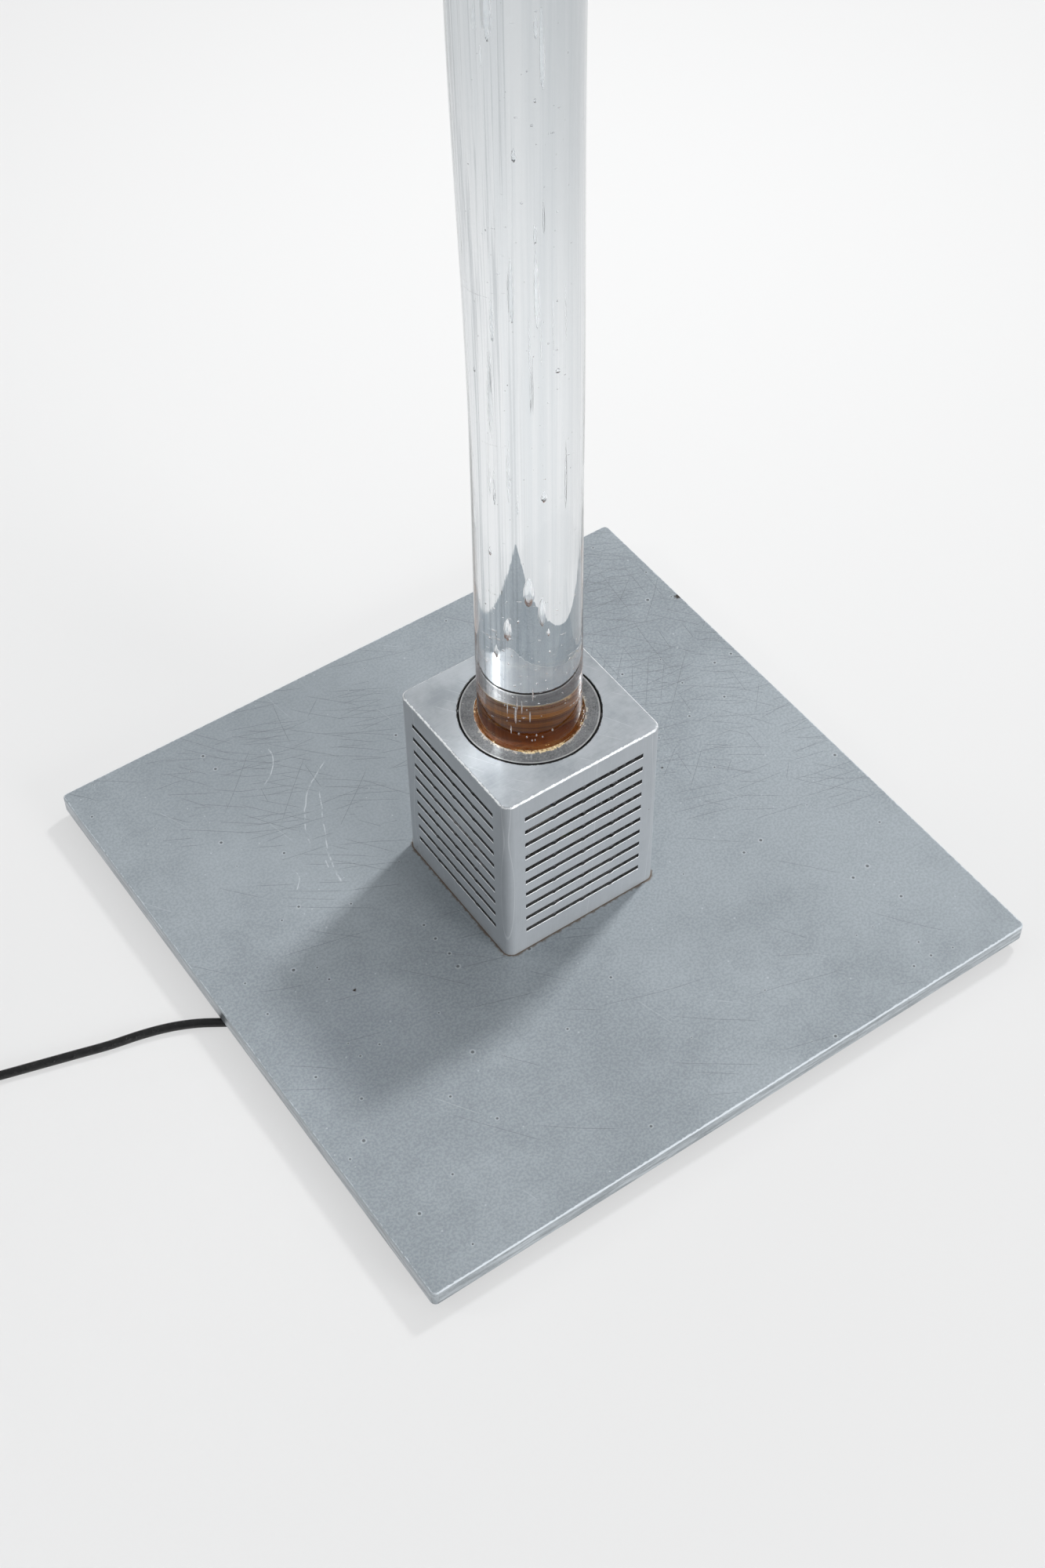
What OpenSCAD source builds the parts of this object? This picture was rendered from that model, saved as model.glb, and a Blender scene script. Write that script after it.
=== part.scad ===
// Floor lamp with a solid clear rod full of drawn-out air bubbles.
// The rod is bonded into a turned steel collar, which four pillars carry over
// a heavy square plate. A slotted square housing hides the light source and
// slides up the rod to reach it. Millimetres, Z up, origin on the floor below
// the middle of the plate.

/* [Base plate] */
// Width of the square plate
plate_w = 500; // [420:5:600]
// Thickness of the plate
plate_t = 14; // [10:0.5:20]
// Radius of the plate's upright corners
plate_corner_r = 4; // [1:0.5:8]
// Broken edge along the top and the underside of the plate
plate_edge = 0.8; // [0.4:0.1:2]
// Height of the rubber feet
foot_h = 8; // [7.5:0.5:14]
// Diameter of a foot where it meets the plate
foot_d = 30; // [24:1:40]
// Distance of a foot's axis from the plate's sides
foot_inset = 40; // [30:1:60]

/* [Housing] */
// Outer width of the square housing
housing_w = 127; // [122:1:140]
// Height of the housing
housing_h = 161; // [150:1:190]
// Thickness of the four walls
housing_wall = 2; // [1.5:0.1:3]
// Thickness of the top
housing_top = 3; // [2:0.25:5]
// Radius of the upright corners
housing_corner_r = 7; // [5:0.5:10]
// Chamfer round the top
housing_chamfer = 1.2; // [0.6:0.1:2]
// Play between the housing and the flange that centres it
housing_play = 0.5; // [0.3:0.1:1]

/* [Ventilation slots] */
// Height of a slot
slot_h = 3.5; // [2.5:0.1:4.5]
// Distance from one slot to the next
slot_pitch = 13.4; // [11:0.2:18]
// Depth of the first slot's middle below the top
slot_first = 19.3; // [15:0.1:25]
// Least height of the last slot's middle above the foot
slot_last = 20; // [14:0.5:26]
// Distance from a slot's end to the side of the housing
slot_margin = 15.3; // [13:0.1:22]
// Number of punch strokes that make one slot
slot_strokes = 4; // [2:1:6]
// Depth of the ragged tooth where two strokes meet
slot_tooth = 0.8; // [0.2:0.1:1.2]
// Width of that tooth at its root
slot_tooth_w = 5; // [3:0.5:8]

/* [Collar] */
// Outer diameter of the collar
collar_d = 95.8; // [94:0.2:98]
// Bore of the collar around the rod
collar_bore = 75; // [74:0.2:77]
// Height of the collar
collar_h = 29; // [26:1:40]
// Bore of the lip that carries the rod
lip_bore = 60; // [54:1:64]
// Thickness of the lip
lip_t = 4; // [3:0.5:6]
// Gap between the collar and the housing's top
collar_gap = 0.6; // [0.4:0.1:1]
// Chamfer at the collar's outer top edge
collar_edge = 0.4; // [0.2:0.1:0.8]

/* [Rod] */
// Overall height of the lamp
lamp_h = 1800; // [1200:10:2000]
// Diameter of the rod
rod_d = 70.4; // [66:0.2:72]
// Bevel round the rod's polished ends
rod_bevel = 1; // [0.5:0.1:2]
// Thickness of the seat ring under the rod
seat_t = 2; // [1:0.5:4]
// Depth of the amber resin's surface below the collar's top
resin_drop = 2; // [1:0.5:5]
// Clearance of the resin to the rod and to the collar's bore
bond_gap = 0.1; // [0.05:0.05:0.3]
// Length of a full-size bubble
bubble_l = 27; // [18:1:40]
// Width of a full-size bubble
bubble_d = 5.6; // [3:0.2:8]
// Rise from one bubble to the next
bubble_rise = 62; // [40:1:120]
// Clear length of rod below the first and above the last bubble
bubble_margin = 70; // [60:5:150]
// Distance of the outermost bubbles from the rod's axis
bubble_reach = 24; // [10:1:26]

/* [Frame inside] */
// Thickness of the flange that centres the housing
flange_t = 5; // [4:0.5:8]
// Diameter of a pillar
pillar_d = 12; // [10:0.5:14]
// Diameter of the screws and studs in the pillars
pillar_screw_d = 5; // [4:0.5:6]
// Depth of a screw or stud in a pillar or in the collar
thread_l = 14; // [10:1:18]
// Diameter of a countersunk head
head_d = 10; // [9:0.5:12]
// Radial clearance between a screw and its hole
screw_gap = 0.1; // [0.05:0.05:0.2]

/* [Light source] */
// Diameter of the reflector bulb's face
bulb_d = 50; // [44:1:56]
// Share of the height between flange and collar that the bulb takes
bulb_share = 0.38; // [0.33:0.01:0.42]
// Share of that height that stays air above the bulb
air_share = 0.1; // [0.07:0.01:0.12]
// Share of that height that the lampholder takes
holder_share = 0.21; // [0.18:0.01:0.25]
// Diameter of the ceramic lampholder
holder_d = 28; // [24:1:30]
// Width of the bracket's strap
bracket_w = 20; // [16:1:24]
// Thickness of the bracket's sheet
bracket_t = 2; // [1.5:0.25:2.5]
// Distance between the bracket's two uprights
bracket_span = 40; // [36:1:42]

/* [Mains lead] */
// Diameter of the lead
cord_d = 6.5; // [6:0.1:7]
// Radius in which the lead turns down through the plate
tail_bend_r = 26; // [26:0.5:27]
// Width of the slot that the lead passes through
gland_w = 13; // [11.5:0.5:14]
// Wall of the rubber grommet in that slot
grommet_wall = 1.5; // [1:0.25:2]
// Diameter of one insulated core
core_d = 2.2; // [1.8:0.1:2.6]
// Width of the clamp along the lead
clamp_w = 14; // [10:1:18]
// Thickness of the clamp's strap
clamp_t = 1; // [0.8:0.1:1.2]

/* [Foot switch] */
// Length of the switch
switch_l = 84; // [76:1:92]
// Width of the switch
switch_w = 40; // [36:1:44]
// Height of the switch without its button
switch_h = 24; // [22:1:28]
// Wall of the switch's two shells
switch_wall = 2; // [1.5:0.1:2.5]
// Height of the lower shell
switch_base_h = 7; // [6:0.5:9]
// Diameter of the button
button_d = 24; // [20:1:26]
// How far the button stands up
button_rise = 5; // [4:0.5:7]
// Travel of the button
button_travel = 3; // [2:0.5:3.5]
// Radial clearance round the button
button_gap = 0.4; // [0.3:0.05:0.6]

/* [Plug] */
// Diameter of the plug's head
plug_d = 36; // [35:1:39]
// Length of the head
plug_head_l = 26; // [22:1:30]
// Length of the grip that tapers back from the head
plug_grip_l = 22; // [18:1:28]
// Diameter of a pin
pin_d = 4.8; // [4:0.1:5]
// Length of a pin
pin_l = 19; // [17:0.5:20]
// Distance between the pins
pin_pitch = 19; // [18:0.5:20]
// Length of the tapered sleeves that protect the lead
boot_l = 22; // [20:1:30]
// Wall of a sleeve at its thin end
boot_wall = 1; // [0.75:0.25:1.5]

/* [Coil] */
// Diameter of the coil at the middle of its turns
coil_d = 72; // [68:1:76]
// Clear space between neighbouring turns
coil_gap = 0.9; // [0.7:0.1:1.2]
// Turns in each of the coil's two layers
coil_turns = 3; // [2:1:4]

/* [Hidden] */
$fn = 64;

// Colours
steel_grey = "#9aa3a9";
alu_grey = "#a8b0b5";
dark_steel = "#6a6a68";
bright_steel = "#c9ccce";
rubber_black = "#1c1d1f";
amber = "#6e3e1d";
clear_glass = "#dde4e6";
porcelain = "#ece7dc";
brass_yellow = "#c2a24c";
milky_white = "#e4e2da";

// Heights, from the floor up
plate_z = foot_h;
deck_z = plate_z + plate_t;
flange_top_z = deck_z + flange_t;
housing_top_z = deck_z + housing_h;
collar_z = housing_top_z - collar_h;
seat_z = collar_z + lip_t;
rod_z = seat_z + seat_t;
resin_top_z = housing_top_z - resin_drop;
room_h = collar_z - flange_top_z;
bulb_l = bulb_share * room_h;
holder_h = holder_share * room_h;
bulb_top_z = collar_z - air_share * room_h;
holder_top_z = bulb_top_z - bulb_l;
bracket_top_z = holder_top_z - holder_h;

// Frame inside
collar_hole_d = collar_d + 2 * collar_gap;
flange_w = housing_w - 2 * (housing_wall + housing_play);
flange_corner_r = housing_corner_r - housing_wall - housing_play;
pillar_r = (collar_d - pillar_d) / 2;
head_h = (head_d - pillar_screw_d) / 2;
pillar_angles = [45, 135, 225, 315];

// Slots
slot_rows = 1 + floor((housing_h - slot_first - slot_last) / slot_pitch);
slot_l = housing_w - 2 * slot_margin;

// Feet and their screws
foot_taper = 1.5;
foot_screw_d = 5;
foot_screw_l = 9;
foot_head_d = 9.5;
foot_head_h = 3;
foot_floor = 2.5;
foot_at = plate_w / 2 - foot_inset;

// Lead inside the base: it comes down by the bracket and turns out under the plate
cord_r = cord_d / 2;
tail_x = -25;
tail_top_z = 42;
held_z = plate_z - cord_r - 0.05;
tail_out_x = tail_x - tail_bend_r;
tail_bend_z = held_z + tail_bend_r;
gland_in_x = tail_x + gland_w / 2;
gland_out_x = tail_out_x - 4;
grommet_lip = 1.5;
clamp_x = -80;
clamp_end_x = clamp_x - clamp_w / 2;
clamp_screw_y = 11;
small_screw_d = 3;
small_head_d = 5.6;
small_head_h = 1.8;
small_screw_l = 7;
screw_boss_d = small_screw_d + 3.5;

// Bracket, holder and terminal block
bracket_foot_l = 11;
bracket_foot_y = bracket_span / 2 + bracket_foot_l / 2;
holder_screw_x = 6;
block_l = 18;
block_w = 26;
block_h = 14;
block_pitch = 8;
block_entry_z = flange_top_z + 6;
block_z = flange_top_z + 0.1;
lug_x = 38;
pin_socket_d = 5.4;
bulb_pin_d = 2.5;
bulb_pin_head_d = 5;
bulb_pin_y = 5;
bulb_pin_l = 7;

// Foot switch, on the floor beside the lamp
switch_x = -509;
switch_y = 76;
switch_axis_z = 10;
switch_end_x = switch_l / 2 + boot_l;
boot_d = 12;
boot_thin_d = cord_d + 2 * boot_wall;
seam = 0.2;
cover_chamfer = 3;
module_l = 34;
module_w = 22;
module_z = switch_wall + 0.3;
button_collar = 1.5;
button_under_z = switch_h - switch_wall - 0.3 - button_collar;
module_h = button_under_z - button_travel - 0.3 - module_z;
switch_screw_x = switch_l / 2 - 14;
switch_screw_y = switch_w / 2 - 7;

// Plug
plug_x = -480;
plug_y = 206;
plug_z = plug_d / 2;
plug_l = boot_l + plug_grip_l + plug_head_l;
grip_d = 22;
clip_w = 5;
clip_t = 1;
clip_gap = 0.1;

// Coil: it spirals in on the floor, climbs in half a turn, and spirals out on top
coil_x = -558;
coil_y = 164;
coil_pitch = cord_d + coil_gap;
coil_step = cord_d + 0.75;
coil_out_r = (coil_d + coil_turns * coil_pitch) / 2;
coil_in_r = (coil_d - coil_turns * coil_pitch) / 2;
coil_dip = coil_pitch / (2 * PI);
coil_last = coil_turns - 0.25;
coil_total = 2 * coil_turns + 0.25;
coil_rings = 24;
coil_sides = 6;

// Routes of the free lead: chosen points, with ends that meet what holds them
lead_route = [
    [clamp_end_x, 0, held_z], [clamp_end_x - 8, 0, held_z], [-112, -2, 4.1], [-132, -6, 3.5], [-156, -10, 3.3],
    [-182, -12, 3.3], [-206, -8, 3.3], [-228, 3, 3.3], [-247, 16, 3.3], [-264, 27, 3.3],
    [-281, 35, 3.3], [-300, 41, 3.3], [-322, 46, 3.3], [-346, 53, 3.3], [-370, 60, 3.3],
    [-394, 67, 3.3], [-414, 72, 5], [-430, 75, 8.2],
    [switch_x + switch_end_x + 6, switch_y, switch_axis_z], [switch_x + switch_end_x, switch_y, switch_axis_z]
];
link_route = [
    [switch_x - switch_end_x, switch_y, switch_axis_z], [switch_x - switch_end_x - 6, switch_y, 10],
    [-589, 79, 8.6], [-599, 87, 6.8], [-605, 99, 5], [-606, 113, 3.8], [-606, 128, 3.4],
    [-606, 143, 3.3], [coil_x - coil_out_r, coil_y - cord_d - 7, cord_r],
    [coil_x - coil_out_r, coil_y - cord_d, cord_r]
];
end_route = [
    [coil_x + cord_d, coil_y + coil_in_r + coil_last * coil_pitch, cord_r + coil_step],
    [coil_x + cord_d + 7, coil_y + coil_in_r + coil_last * coil_pitch, cord_r + coil_step],
    [-531, 209, 10.4], [-518, 208, 11], [-505, 207, 13.4], [-494, 206, 16.2],
    [plug_x - 6, plug_y, plug_z], [plug_x, plug_y, plug_z]
];

// A square with round corners
module rounded_square(w, r) {
    square([w, w - 2 * r], center = true);
    square([w - 2 * r, w], center = true);
    for (x = [-1, 1], y = [-1, 1])
        translate([x * (w / 2 - r), y * (w / 2 - r)])
            circle(r);
}

// An upright square block whose corners are round and whose top is chamfered
module chamfered_block(w, h, r, c) {
    linear_extrude(h - c)
        rounded_square(w, r);
    translate([0, 0, h - c])
        chamfer_layer(w, r, c);
}

// The chamfered layer on top of that block
module chamfer_layer(w, r, c) {
    for (turn = [0, 90])
        rotate([0, 0, turn])
            rotate([90, 0, 0])
                linear_extrude(w - 2 * r, center = true)
                    polygon([[-w / 2, 0], [w / 2, 0], [w / 2 - c, c], [-w / 2 + c, c]]);
    for (x = [-1, 1], y = [-1, 1])
        translate([x * (w / 2 - r), y * (w / 2 - r), 0])
            cylinder(h = c, r1 = r, r2 = r - c);
}

// A long outline with round ends, along X
module slot_outline(l, w) {
    square([l - w, w], center = true);
    for (x = [-1, 1])
        translate([x * (l - w) / 2, 0])
            circle(d = w);
}

// Copies at the four feet
module at_feet() {
    for (x = [-1, 1], y = [-1, 1])
        translate([x * foot_at, y * foot_at, 0])
            children();
}

// Copies at the four pillars
module at_pillars() {
    for (a = pillar_angles)
        rotate([0, 0, a])
            translate([pillar_r, 0, 0])
                children();
}

// A pan head screw with a cross recess, head up at z = 0
module pan_screw(d, l, head, head_l) {
    difference() {
        union() {
            translate([0, 0, -l])
                cylinder(h = l + 0.01, d = d);
            cylinder(h = head_l * 0.6, d = head);
            translate([0, 0, head_l * 0.6])
                cylinder(h = head_l * 0.4, d1 = head, d2 = head * 0.7);
        }
        for (turn = [0, 90])
            rotate([0, 0, turn])
                translate([0, 0, head_l])
                    cube([head * 0.5, head * 0.13, head_l], center = true);
    }
}

// Slot that the lead takes through the plate and the flange
module gland_slot(w, h) {
    l = gland_in_x - gland_out_x - gland_w + w;
    translate([(gland_in_x + gland_out_x) / 2, 0, 0])
        linear_extrude(h)
            slot_outline(l, w);
}

// Points and frames along a smooth curve through a route, whose first and last steps stay straight
function unit(v) = v / norm(v);
function curve_point(a, b, c, d, t) =
    (2 * b + (c - a) * t + (2 * a - 5 * b + 4 * c - d) * t * t + (3 * b - a - 3 * c + d) * t * t * t) / 2;
function smooth_route(route, steps) = [
    route[0],
    for (i = [1 : len(route) - 3], s = [0 : steps - 1])
        curve_point(route[i - 1], route[i], route[i + 1], route[i + 2], s / steps),
    route[len(route) - 2],
    route[len(route) - 1]
];
function heading(p, i) =
    unit(p[min(i + 1, len(p) - 1)] - p[max(i - 1, 0)]);
function square_to(side, dir) = unit(side - (side * dir) * dir);
function side_vectors(p, first) = [
    for (i = 0, side = square_to(first, heading(p, 0));
         i < len(p);
         i = i + 1, side = i < len(p) ? square_to(side, heading(p, i)) : side)
        side
];

// A tube swept along points, with triangular faces and flat ends
module swept_tube(p, d, sides, first = [0, 0, 1]) {
    n = len(p);
    side = side_vectors(p, first);
    rings = [
        for (i = [0 : n - 1], k = [0 : sides - 1])
            let (across = cross(heading(p, i), side[i]), a = 360 * k / sides)
            p[i] + d / 2 * (cos(a) * side[i] + sin(a) * across)
    ];
    walls = [
        for (i = [0 : n - 2], k = [0 : sides - 1], half = [0, 1])
            let (a = i * sides + k, b = i * sides + (k + 1) % sides)
            half == 0 ? [a, a + sides, b] : [b, a + sides, b + sides]
    ];
    caps = [
        for (k = [1 : sides - 2], e = [0, 1])
            e == 0 ? [0, k, k + 1] : [n * sides - sides, n * sides - sides + k + 1, n * sides - sides + k]
    ];
    polyhedron(points = rings, faces = concat(walls, caps));
}

// Steel plate with its blind holes for the feet, the holes for the pillars and the lead's slot
module base_plate() {
    color(steel_grey)
        difference() {
            translate([0, 0, plate_z])
                union() {
                    translate([0, 0, plate_t / 2])
                        chamfered_block(plate_w, plate_t / 2, plate_corner_r, plate_edge);
                    translate([0, 0, plate_t / 2])
                        mirror([0, 0, 1])
                            chamfered_block(plate_w, plate_t / 2, plate_corner_r, plate_edge);
                }
            at_feet()
                translate([0, 0, plate_z - 1])
                    cylinder(h = foot_screw_l + 2, d = foot_screw_d + 2 * screw_gap);
            at_pillars() {
                translate([0, 0, plate_z - 1])
                    cylinder(h = plate_t + 2, d = pillar_screw_d + 2 * screw_gap);
                translate([0, 0, plate_z - 0.01])
                    cylinder(h = head_h + 0.01, d1 = head_d + 2 * screw_gap, d2 = pillar_screw_d + 2 * screw_gap);
            }
            translate([0, 0, plate_z - 1])
                gland_slot(gland_w, plate_t + 2);
            for (y = [-1, 1])
                translate([clamp_x, y * clamp_screw_y, plate_z - 1])
                    cylinder(h = small_screw_l + 1.5, d = small_screw_d + 2 * screw_gap);
        }
}

// Rubber feet, each with a recess for its screw's head
module base_feet() {
    color(rubber_black)
        at_feet()
            difference() {
                cylinder(h = foot_h, d1 = foot_d - 2 * foot_taper, d2 = foot_d);
                translate([0, 0, -1])
                    cylinder(h = foot_h + 2, d = foot_screw_d + 2 * screw_gap);
                translate([0, 0, -1])
                    cylinder(h = foot_h - foot_floor + 1, d = foot_head_d + 1);
            }
}

module foot_screws() {
    color(bright_steel)
        at_feet()
            translate([0, 0, foot_h - foot_floor])
                mirror([0, 0, 1])
                    pan_screw(foot_screw_d, foot_screw_l + foot_floor, foot_head_d, foot_head_h);
}

// One edge of a slot, with a tooth that hangs down at each joint between two strokes
function slot_edge(z) = [
    [-slot_l / 2, z],
    for (k = [1 : slot_strokes - 1], side = [-1, 0, 1])
        [k * slot_l / slot_strokes - slot_l / 2 + side * slot_tooth_w / 2, side == 0 ? z - slot_tooth : z],
    [slot_l / 2, z]
];
function reversed(v) = [for (i = [len(v) - 1 : -1 : 0]) v[i]];

// One punched slot right through two opposite walls
module punched_slot() {
    rotate([90, 0, 0])
        linear_extrude(housing_w + 2, center = true)
            polygon(concat(slot_edge(-slot_h / 2), reversed(slot_edge(slot_h / 2))));
}

// Square cover, open below, with rows of slots in all four walls
module housing() {
    inner_w = housing_w - 2 * housing_wall;
    color(alu_grey)
        translate([0, 0, deck_z])
            difference() {
                chamfered_block(housing_w, housing_h, housing_corner_r, housing_chamfer);
                translate([0, 0, -1])
                    linear_extrude(housing_h - housing_top + 1)
                        rounded_square(inner_w, housing_corner_r - housing_wall);
                cylinder(h = housing_h + 1, d = collar_hole_d);
                for (row = [0 : slot_rows - 1], turn = [0, 90])
                    translate([0, 0, housing_h - slot_first - row * slot_pitch])
                        rotate([0, 0, turn])
                            punched_slot();
            }
}

// Flange that the housing drops over and the pillars stand on
module centring_flange() {
    color(steel_grey)
        difference() {
            translate([0, 0, deck_z])
                linear_extrude(flange_t)
                    rounded_square(flange_w, flange_corner_r);
            at_pillars()
                translate([0, 0, deck_z - 1])
                    cylinder(h = flange_t + 2, d = pillar_screw_d + 2 * screw_gap);
            translate([0, 0, deck_z - 1])
                gland_slot(gland_w, flange_t + 2);
            for (y = [-1, 1])
                translate([0, y * bracket_foot_y, deck_z - 1])
                    cylinder(h = flange_t + 2, d = small_screw_d + 2 * screw_gap);
            translate([lug_x, 0, deck_z - 1])
                cylinder(h = flange_t + 2, d = small_screw_d + 2 * screw_gap);
        }
}

module collar_pillars() {
    color(bright_steel)
        at_pillars()
            translate([0, 0, flange_top_z])
                difference() {
                    cylinder(h = collar_z - flange_top_z, d = pillar_d);
                    translate([0, 0, -1])
                        cylinder(h = thread_l + 2, d = pillar_screw_d + 2 * screw_gap);
                    translate([0, 0, collar_z - flange_top_z - thread_l - 1])
                        cylinder(h = thread_l + 2, d = pillar_screw_d + 2 * screw_gap);
                }
}

// Countersunk screws that come up through the plate and the flange
module pillar_screws() {
    color(dark_steel)
        at_pillars()
            translate([0, 0, plate_z])
                difference() {
                    union() {
                        cylinder(h = head_h, d1 = head_d, d2 = pillar_screw_d);
                        cylinder(h = plate_t + flange_t + thread_l, d = pillar_screw_d);
                    }
                    translate([0, 0, -1])
                        cylinder(h = head_h * 0.7 + 1, d = pillar_screw_d * 0.6, $fn = 6);
                }
}

module collar_studs() {
    color(dark_steel)
        at_pillars()
            translate([0, 0, collar_z - thread_l])
                cylinder(h = 2 * thread_l, d = pillar_screw_d);
}

// Turned collar: flush with the housing's top, with a lip under the rod
module collar() {
    color(dark_steel)
        difference() {
            translate([0, 0, collar_z])
                rotate_extrude($fn = 128)
                    polygon([
                        [lip_bore / 2, 0], [collar_d / 2, 0], [collar_d / 2, collar_h - collar_edge],
                        [collar_d / 2 - collar_edge, collar_h], [collar_bore / 2, collar_h],
                        [collar_bore / 2, lip_t], [lip_bore / 2, lip_t]
                    ]);
            at_pillars()
                translate([0, 0, collar_z - 1])
                    cylinder(h = thread_l + 2, d = pillar_screw_d + 2 * screw_gap);
        }
}

module seat_ring() {
    color(rubber_black)
        translate([0, 0, seat_z])
            difference() {
                cylinder(h = seat_t, d = collar_bore - 2 * bond_gap);
                translate([0, 0, -1])
                    cylinder(h = seat_t + 2, d = lip_bore);
            }
}

// Amber resin between the rod and the collar, drawn up a little at both walls
module resin_seat() {
    outer_r = collar_bore / 2 - bond_gap;
    inner_r = rod_d / 2 + bond_gap;
    creep = min(resin_drop / 2, 0.8);
    color(amber)
        rotate_extrude($fn = 128)
            polygon([
                [inner_r, rod_z], [outer_r, rod_z], [outer_r, resin_top_z + creep],
                [(inner_r + outer_r) / 2, resin_top_z], [inner_r, resin_top_z + creep]
            ]);
}

// One bubble: a drawn-out drop, pointed at both ends and fullest below its middle
module bubble(l, d) {
    steps = 8;
    rotate_extrude($fn = 32)
        polygon([
            for (i = [0 : steps])
                let (t = i / steps)
                [i == 0 || i == steps ? 0 : d / 2 * pow(sin(180 * pow(t, 0.75)), 0.8), l * t]
        ]);
}

// Solid clear rod with bubbles up its whole length
module bubble_rod() {
    rod_l = lamp_h - rod_z;
    count = 1 + floor((rod_l - 2 * bubble_margin - bubble_l) / bubble_rise);
    golden_turn = 137.5;
    color(clear_glass)
        translate([0, 0, rod_z])
            difference() {
                union() {
                    cylinder(h = rod_bevel, d1 = rod_d - 2 * rod_bevel, d2 = rod_d, $fn = 128);
                    translate([0, 0, rod_bevel])
                        cylinder(h = rod_l - 2 * rod_bevel, d = rod_d, $fn = 128);
                    translate([0, 0, rod_l - rod_bevel])
                        cylinder(h = rod_bevel, d1 = rod_d, d2 = rod_d - 2 * rod_bevel, $fn = 128);
                }
                for (i = [0 : count - 1])
                    let (size = 0.6 + 0.4 * abs(sin(73 * i)))
                    rotate([0, 0, golden_turn * i])
                        translate([bubble_reach * sqrt((i * 7 % 11 + 1) / 12), 0, bubble_margin + i * bubble_rise])
                            bubble(bubble_l * size, bubble_d * size);
            }
}

// Reflector bulb with a ribbed back and a shallow glass face
module reflector_bulb() {
    neck_d = holder_d * 0.8;
    rim_h = 5;
    color(milky_white)
        translate([0, 0, holder_top_z])
            rotate_extrude()
                polygon([
                    [0, 0], [neck_d / 2, 0], [neck_d / 2, bulb_l * 0.3],
                    for (i = [0 : 6])
                        let (t = i / 6)
                        [neck_d / 2 + (bulb_d - neck_d) / 2 * sin(90 * t),
                            bulb_l * 0.3 + (bulb_l * 0.7 - rim_h) * t],
                    [bulb_d / 2, bulb_l - 1], [bulb_d / 2 - 1, bulb_l], [bulb_d / 2 - 2.5, bulb_l],
                    [bulb_d / 2 - 4, bulb_l - 1.5], [0, bulb_l - 0.8]
                ]);
}

// Twist-lock pins under the bulb
module bulb_pins() {
    color(bright_steel)
        for (y = [-1, 1])
            translate([0, y * bulb_pin_y, holder_top_z - bulb_pin_l]) {
                translate([0, 0, 2])
                    cylinder(h = bulb_pin_l - 2, d = bulb_pin_d);
                cylinder(h = 2, d = bulb_pin_head_d);
            }
}

// Ceramic lampholder: two keyhole sockets above, two screw holes below
module lampholder() {
    color(porcelain)
        difference() {
            translate([0, 0, bracket_top_z]) {
                cylinder(h = holder_h - 1, d = holder_d);
                translate([0, 0, holder_h - 1])
                    cylinder(h = 1, d1 = holder_d, d2 = holder_d - 2);
            }
            for (y = [-1, 1])
                translate([0, y * bulb_pin_y, holder_top_z - bulb_pin_l - 0.5])
                    cylinder(h = bulb_pin_l + 2, d = pin_socket_d);
            for (x = [-1, 1])
                translate([x * holder_screw_x, 0, bracket_top_z - 1])
                    cylinder(h = small_screw_l, d = small_screw_d + 2 * screw_gap);
        }
}

// Bridge of bent sheet that carries the lampholder over the terminal block
module holder_bracket() {
    rise = bracket_top_z - flange_top_z;
    color(bright_steel)
        difference() {
            translate([0, 0, flange_top_z])
                rotate([90, 0, 90])
                    linear_extrude(bracket_w, center = true)
                        union() {
                            translate([-bracket_span / 2, rise - bracket_t])
                                square([bracket_span, bracket_t]);
                            for (s = [0, 1])
                                mirror([s, 0]) {
                                    translate([bracket_span / 2 - bracket_t, 0])
                                        square([bracket_t, rise]);
                                    translate([bracket_span / 2 - bracket_t, 0])
                                        square([bracket_foot_l + bracket_t, bracket_t]);
                                }
                        }
            for (y = [-1, 1])
                translate([0, y * bracket_foot_y, flange_top_z - 1])
                    cylinder(h = bracket_t + 2, d = small_screw_d + 2 * screw_gap);
            for (x = [-1, 1])
                translate([x * holder_screw_x, 0, bracket_top_z - bracket_t - 1])
                    cylinder(h = bracket_t + 2, d = small_screw_d + 2 * screw_gap);
        }
}

module bracket_screws() {
    color(bright_steel)
        for (y = [-1, 1])
            translate([0, y * bracket_foot_y, flange_top_z + bracket_t])
                pan_screw(small_screw_d, bracket_t + flange_t - 0.5, small_head_d, small_head_h);
}

// Screws that hold the lampholder from under the bridge
module holder_screws() {
    color(bright_steel)
        for (x = [-1, 1])
            translate([x * holder_screw_x, 0, bracket_top_z - bracket_t])
                mirror([0, 0, 1])
                    pan_screw(small_screw_d, small_screw_l - 1, small_head_d, small_head_h);
}

// Three-pole terminal block under the bridge
module terminal_block() {
    color(milky_white)
        difference() {
            translate([0, 0, block_z + block_h / 2])
                cube([block_l, block_w, block_h], center = true);
            for (pole = [-1, 0, 1]) {
                translate([0, pole * block_pitch, block_entry_z])
                    rotate([0, 90, 0])
                        cylinder(h = block_l + 2, d = core_d + 1, center = true);
                for (x = [-1, 1])
                    translate([x * block_l / 4, pole * block_pitch, block_entry_z])
                        cylinder(h = block_h, d = small_screw_d + 0.6);
            }
            for (pole = [-0.5, 0.5], x = [-1, 1])
                translate([x * block_l / 2, pole * block_pitch, block_z + block_h / 2])
                    cube([3, 1.5, block_h + 2], center = true);
        }
}

// Grub screws that clamp the cores in the block
module terminal_screws() {
    color(brass_yellow)
        for (pole = [-1, 0, 1], x = [-1, 1])
            translate([x * block_l / 4, pole * block_pitch, block_entry_z + core_d / 2 + 0.1])
                difference() {
                    cylinder(h = 5, d = small_screw_d);
                    translate([0, 0, 5])
                        cube([0.6, small_screw_d + 1, 1.6], center = true);
                }
}

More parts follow.
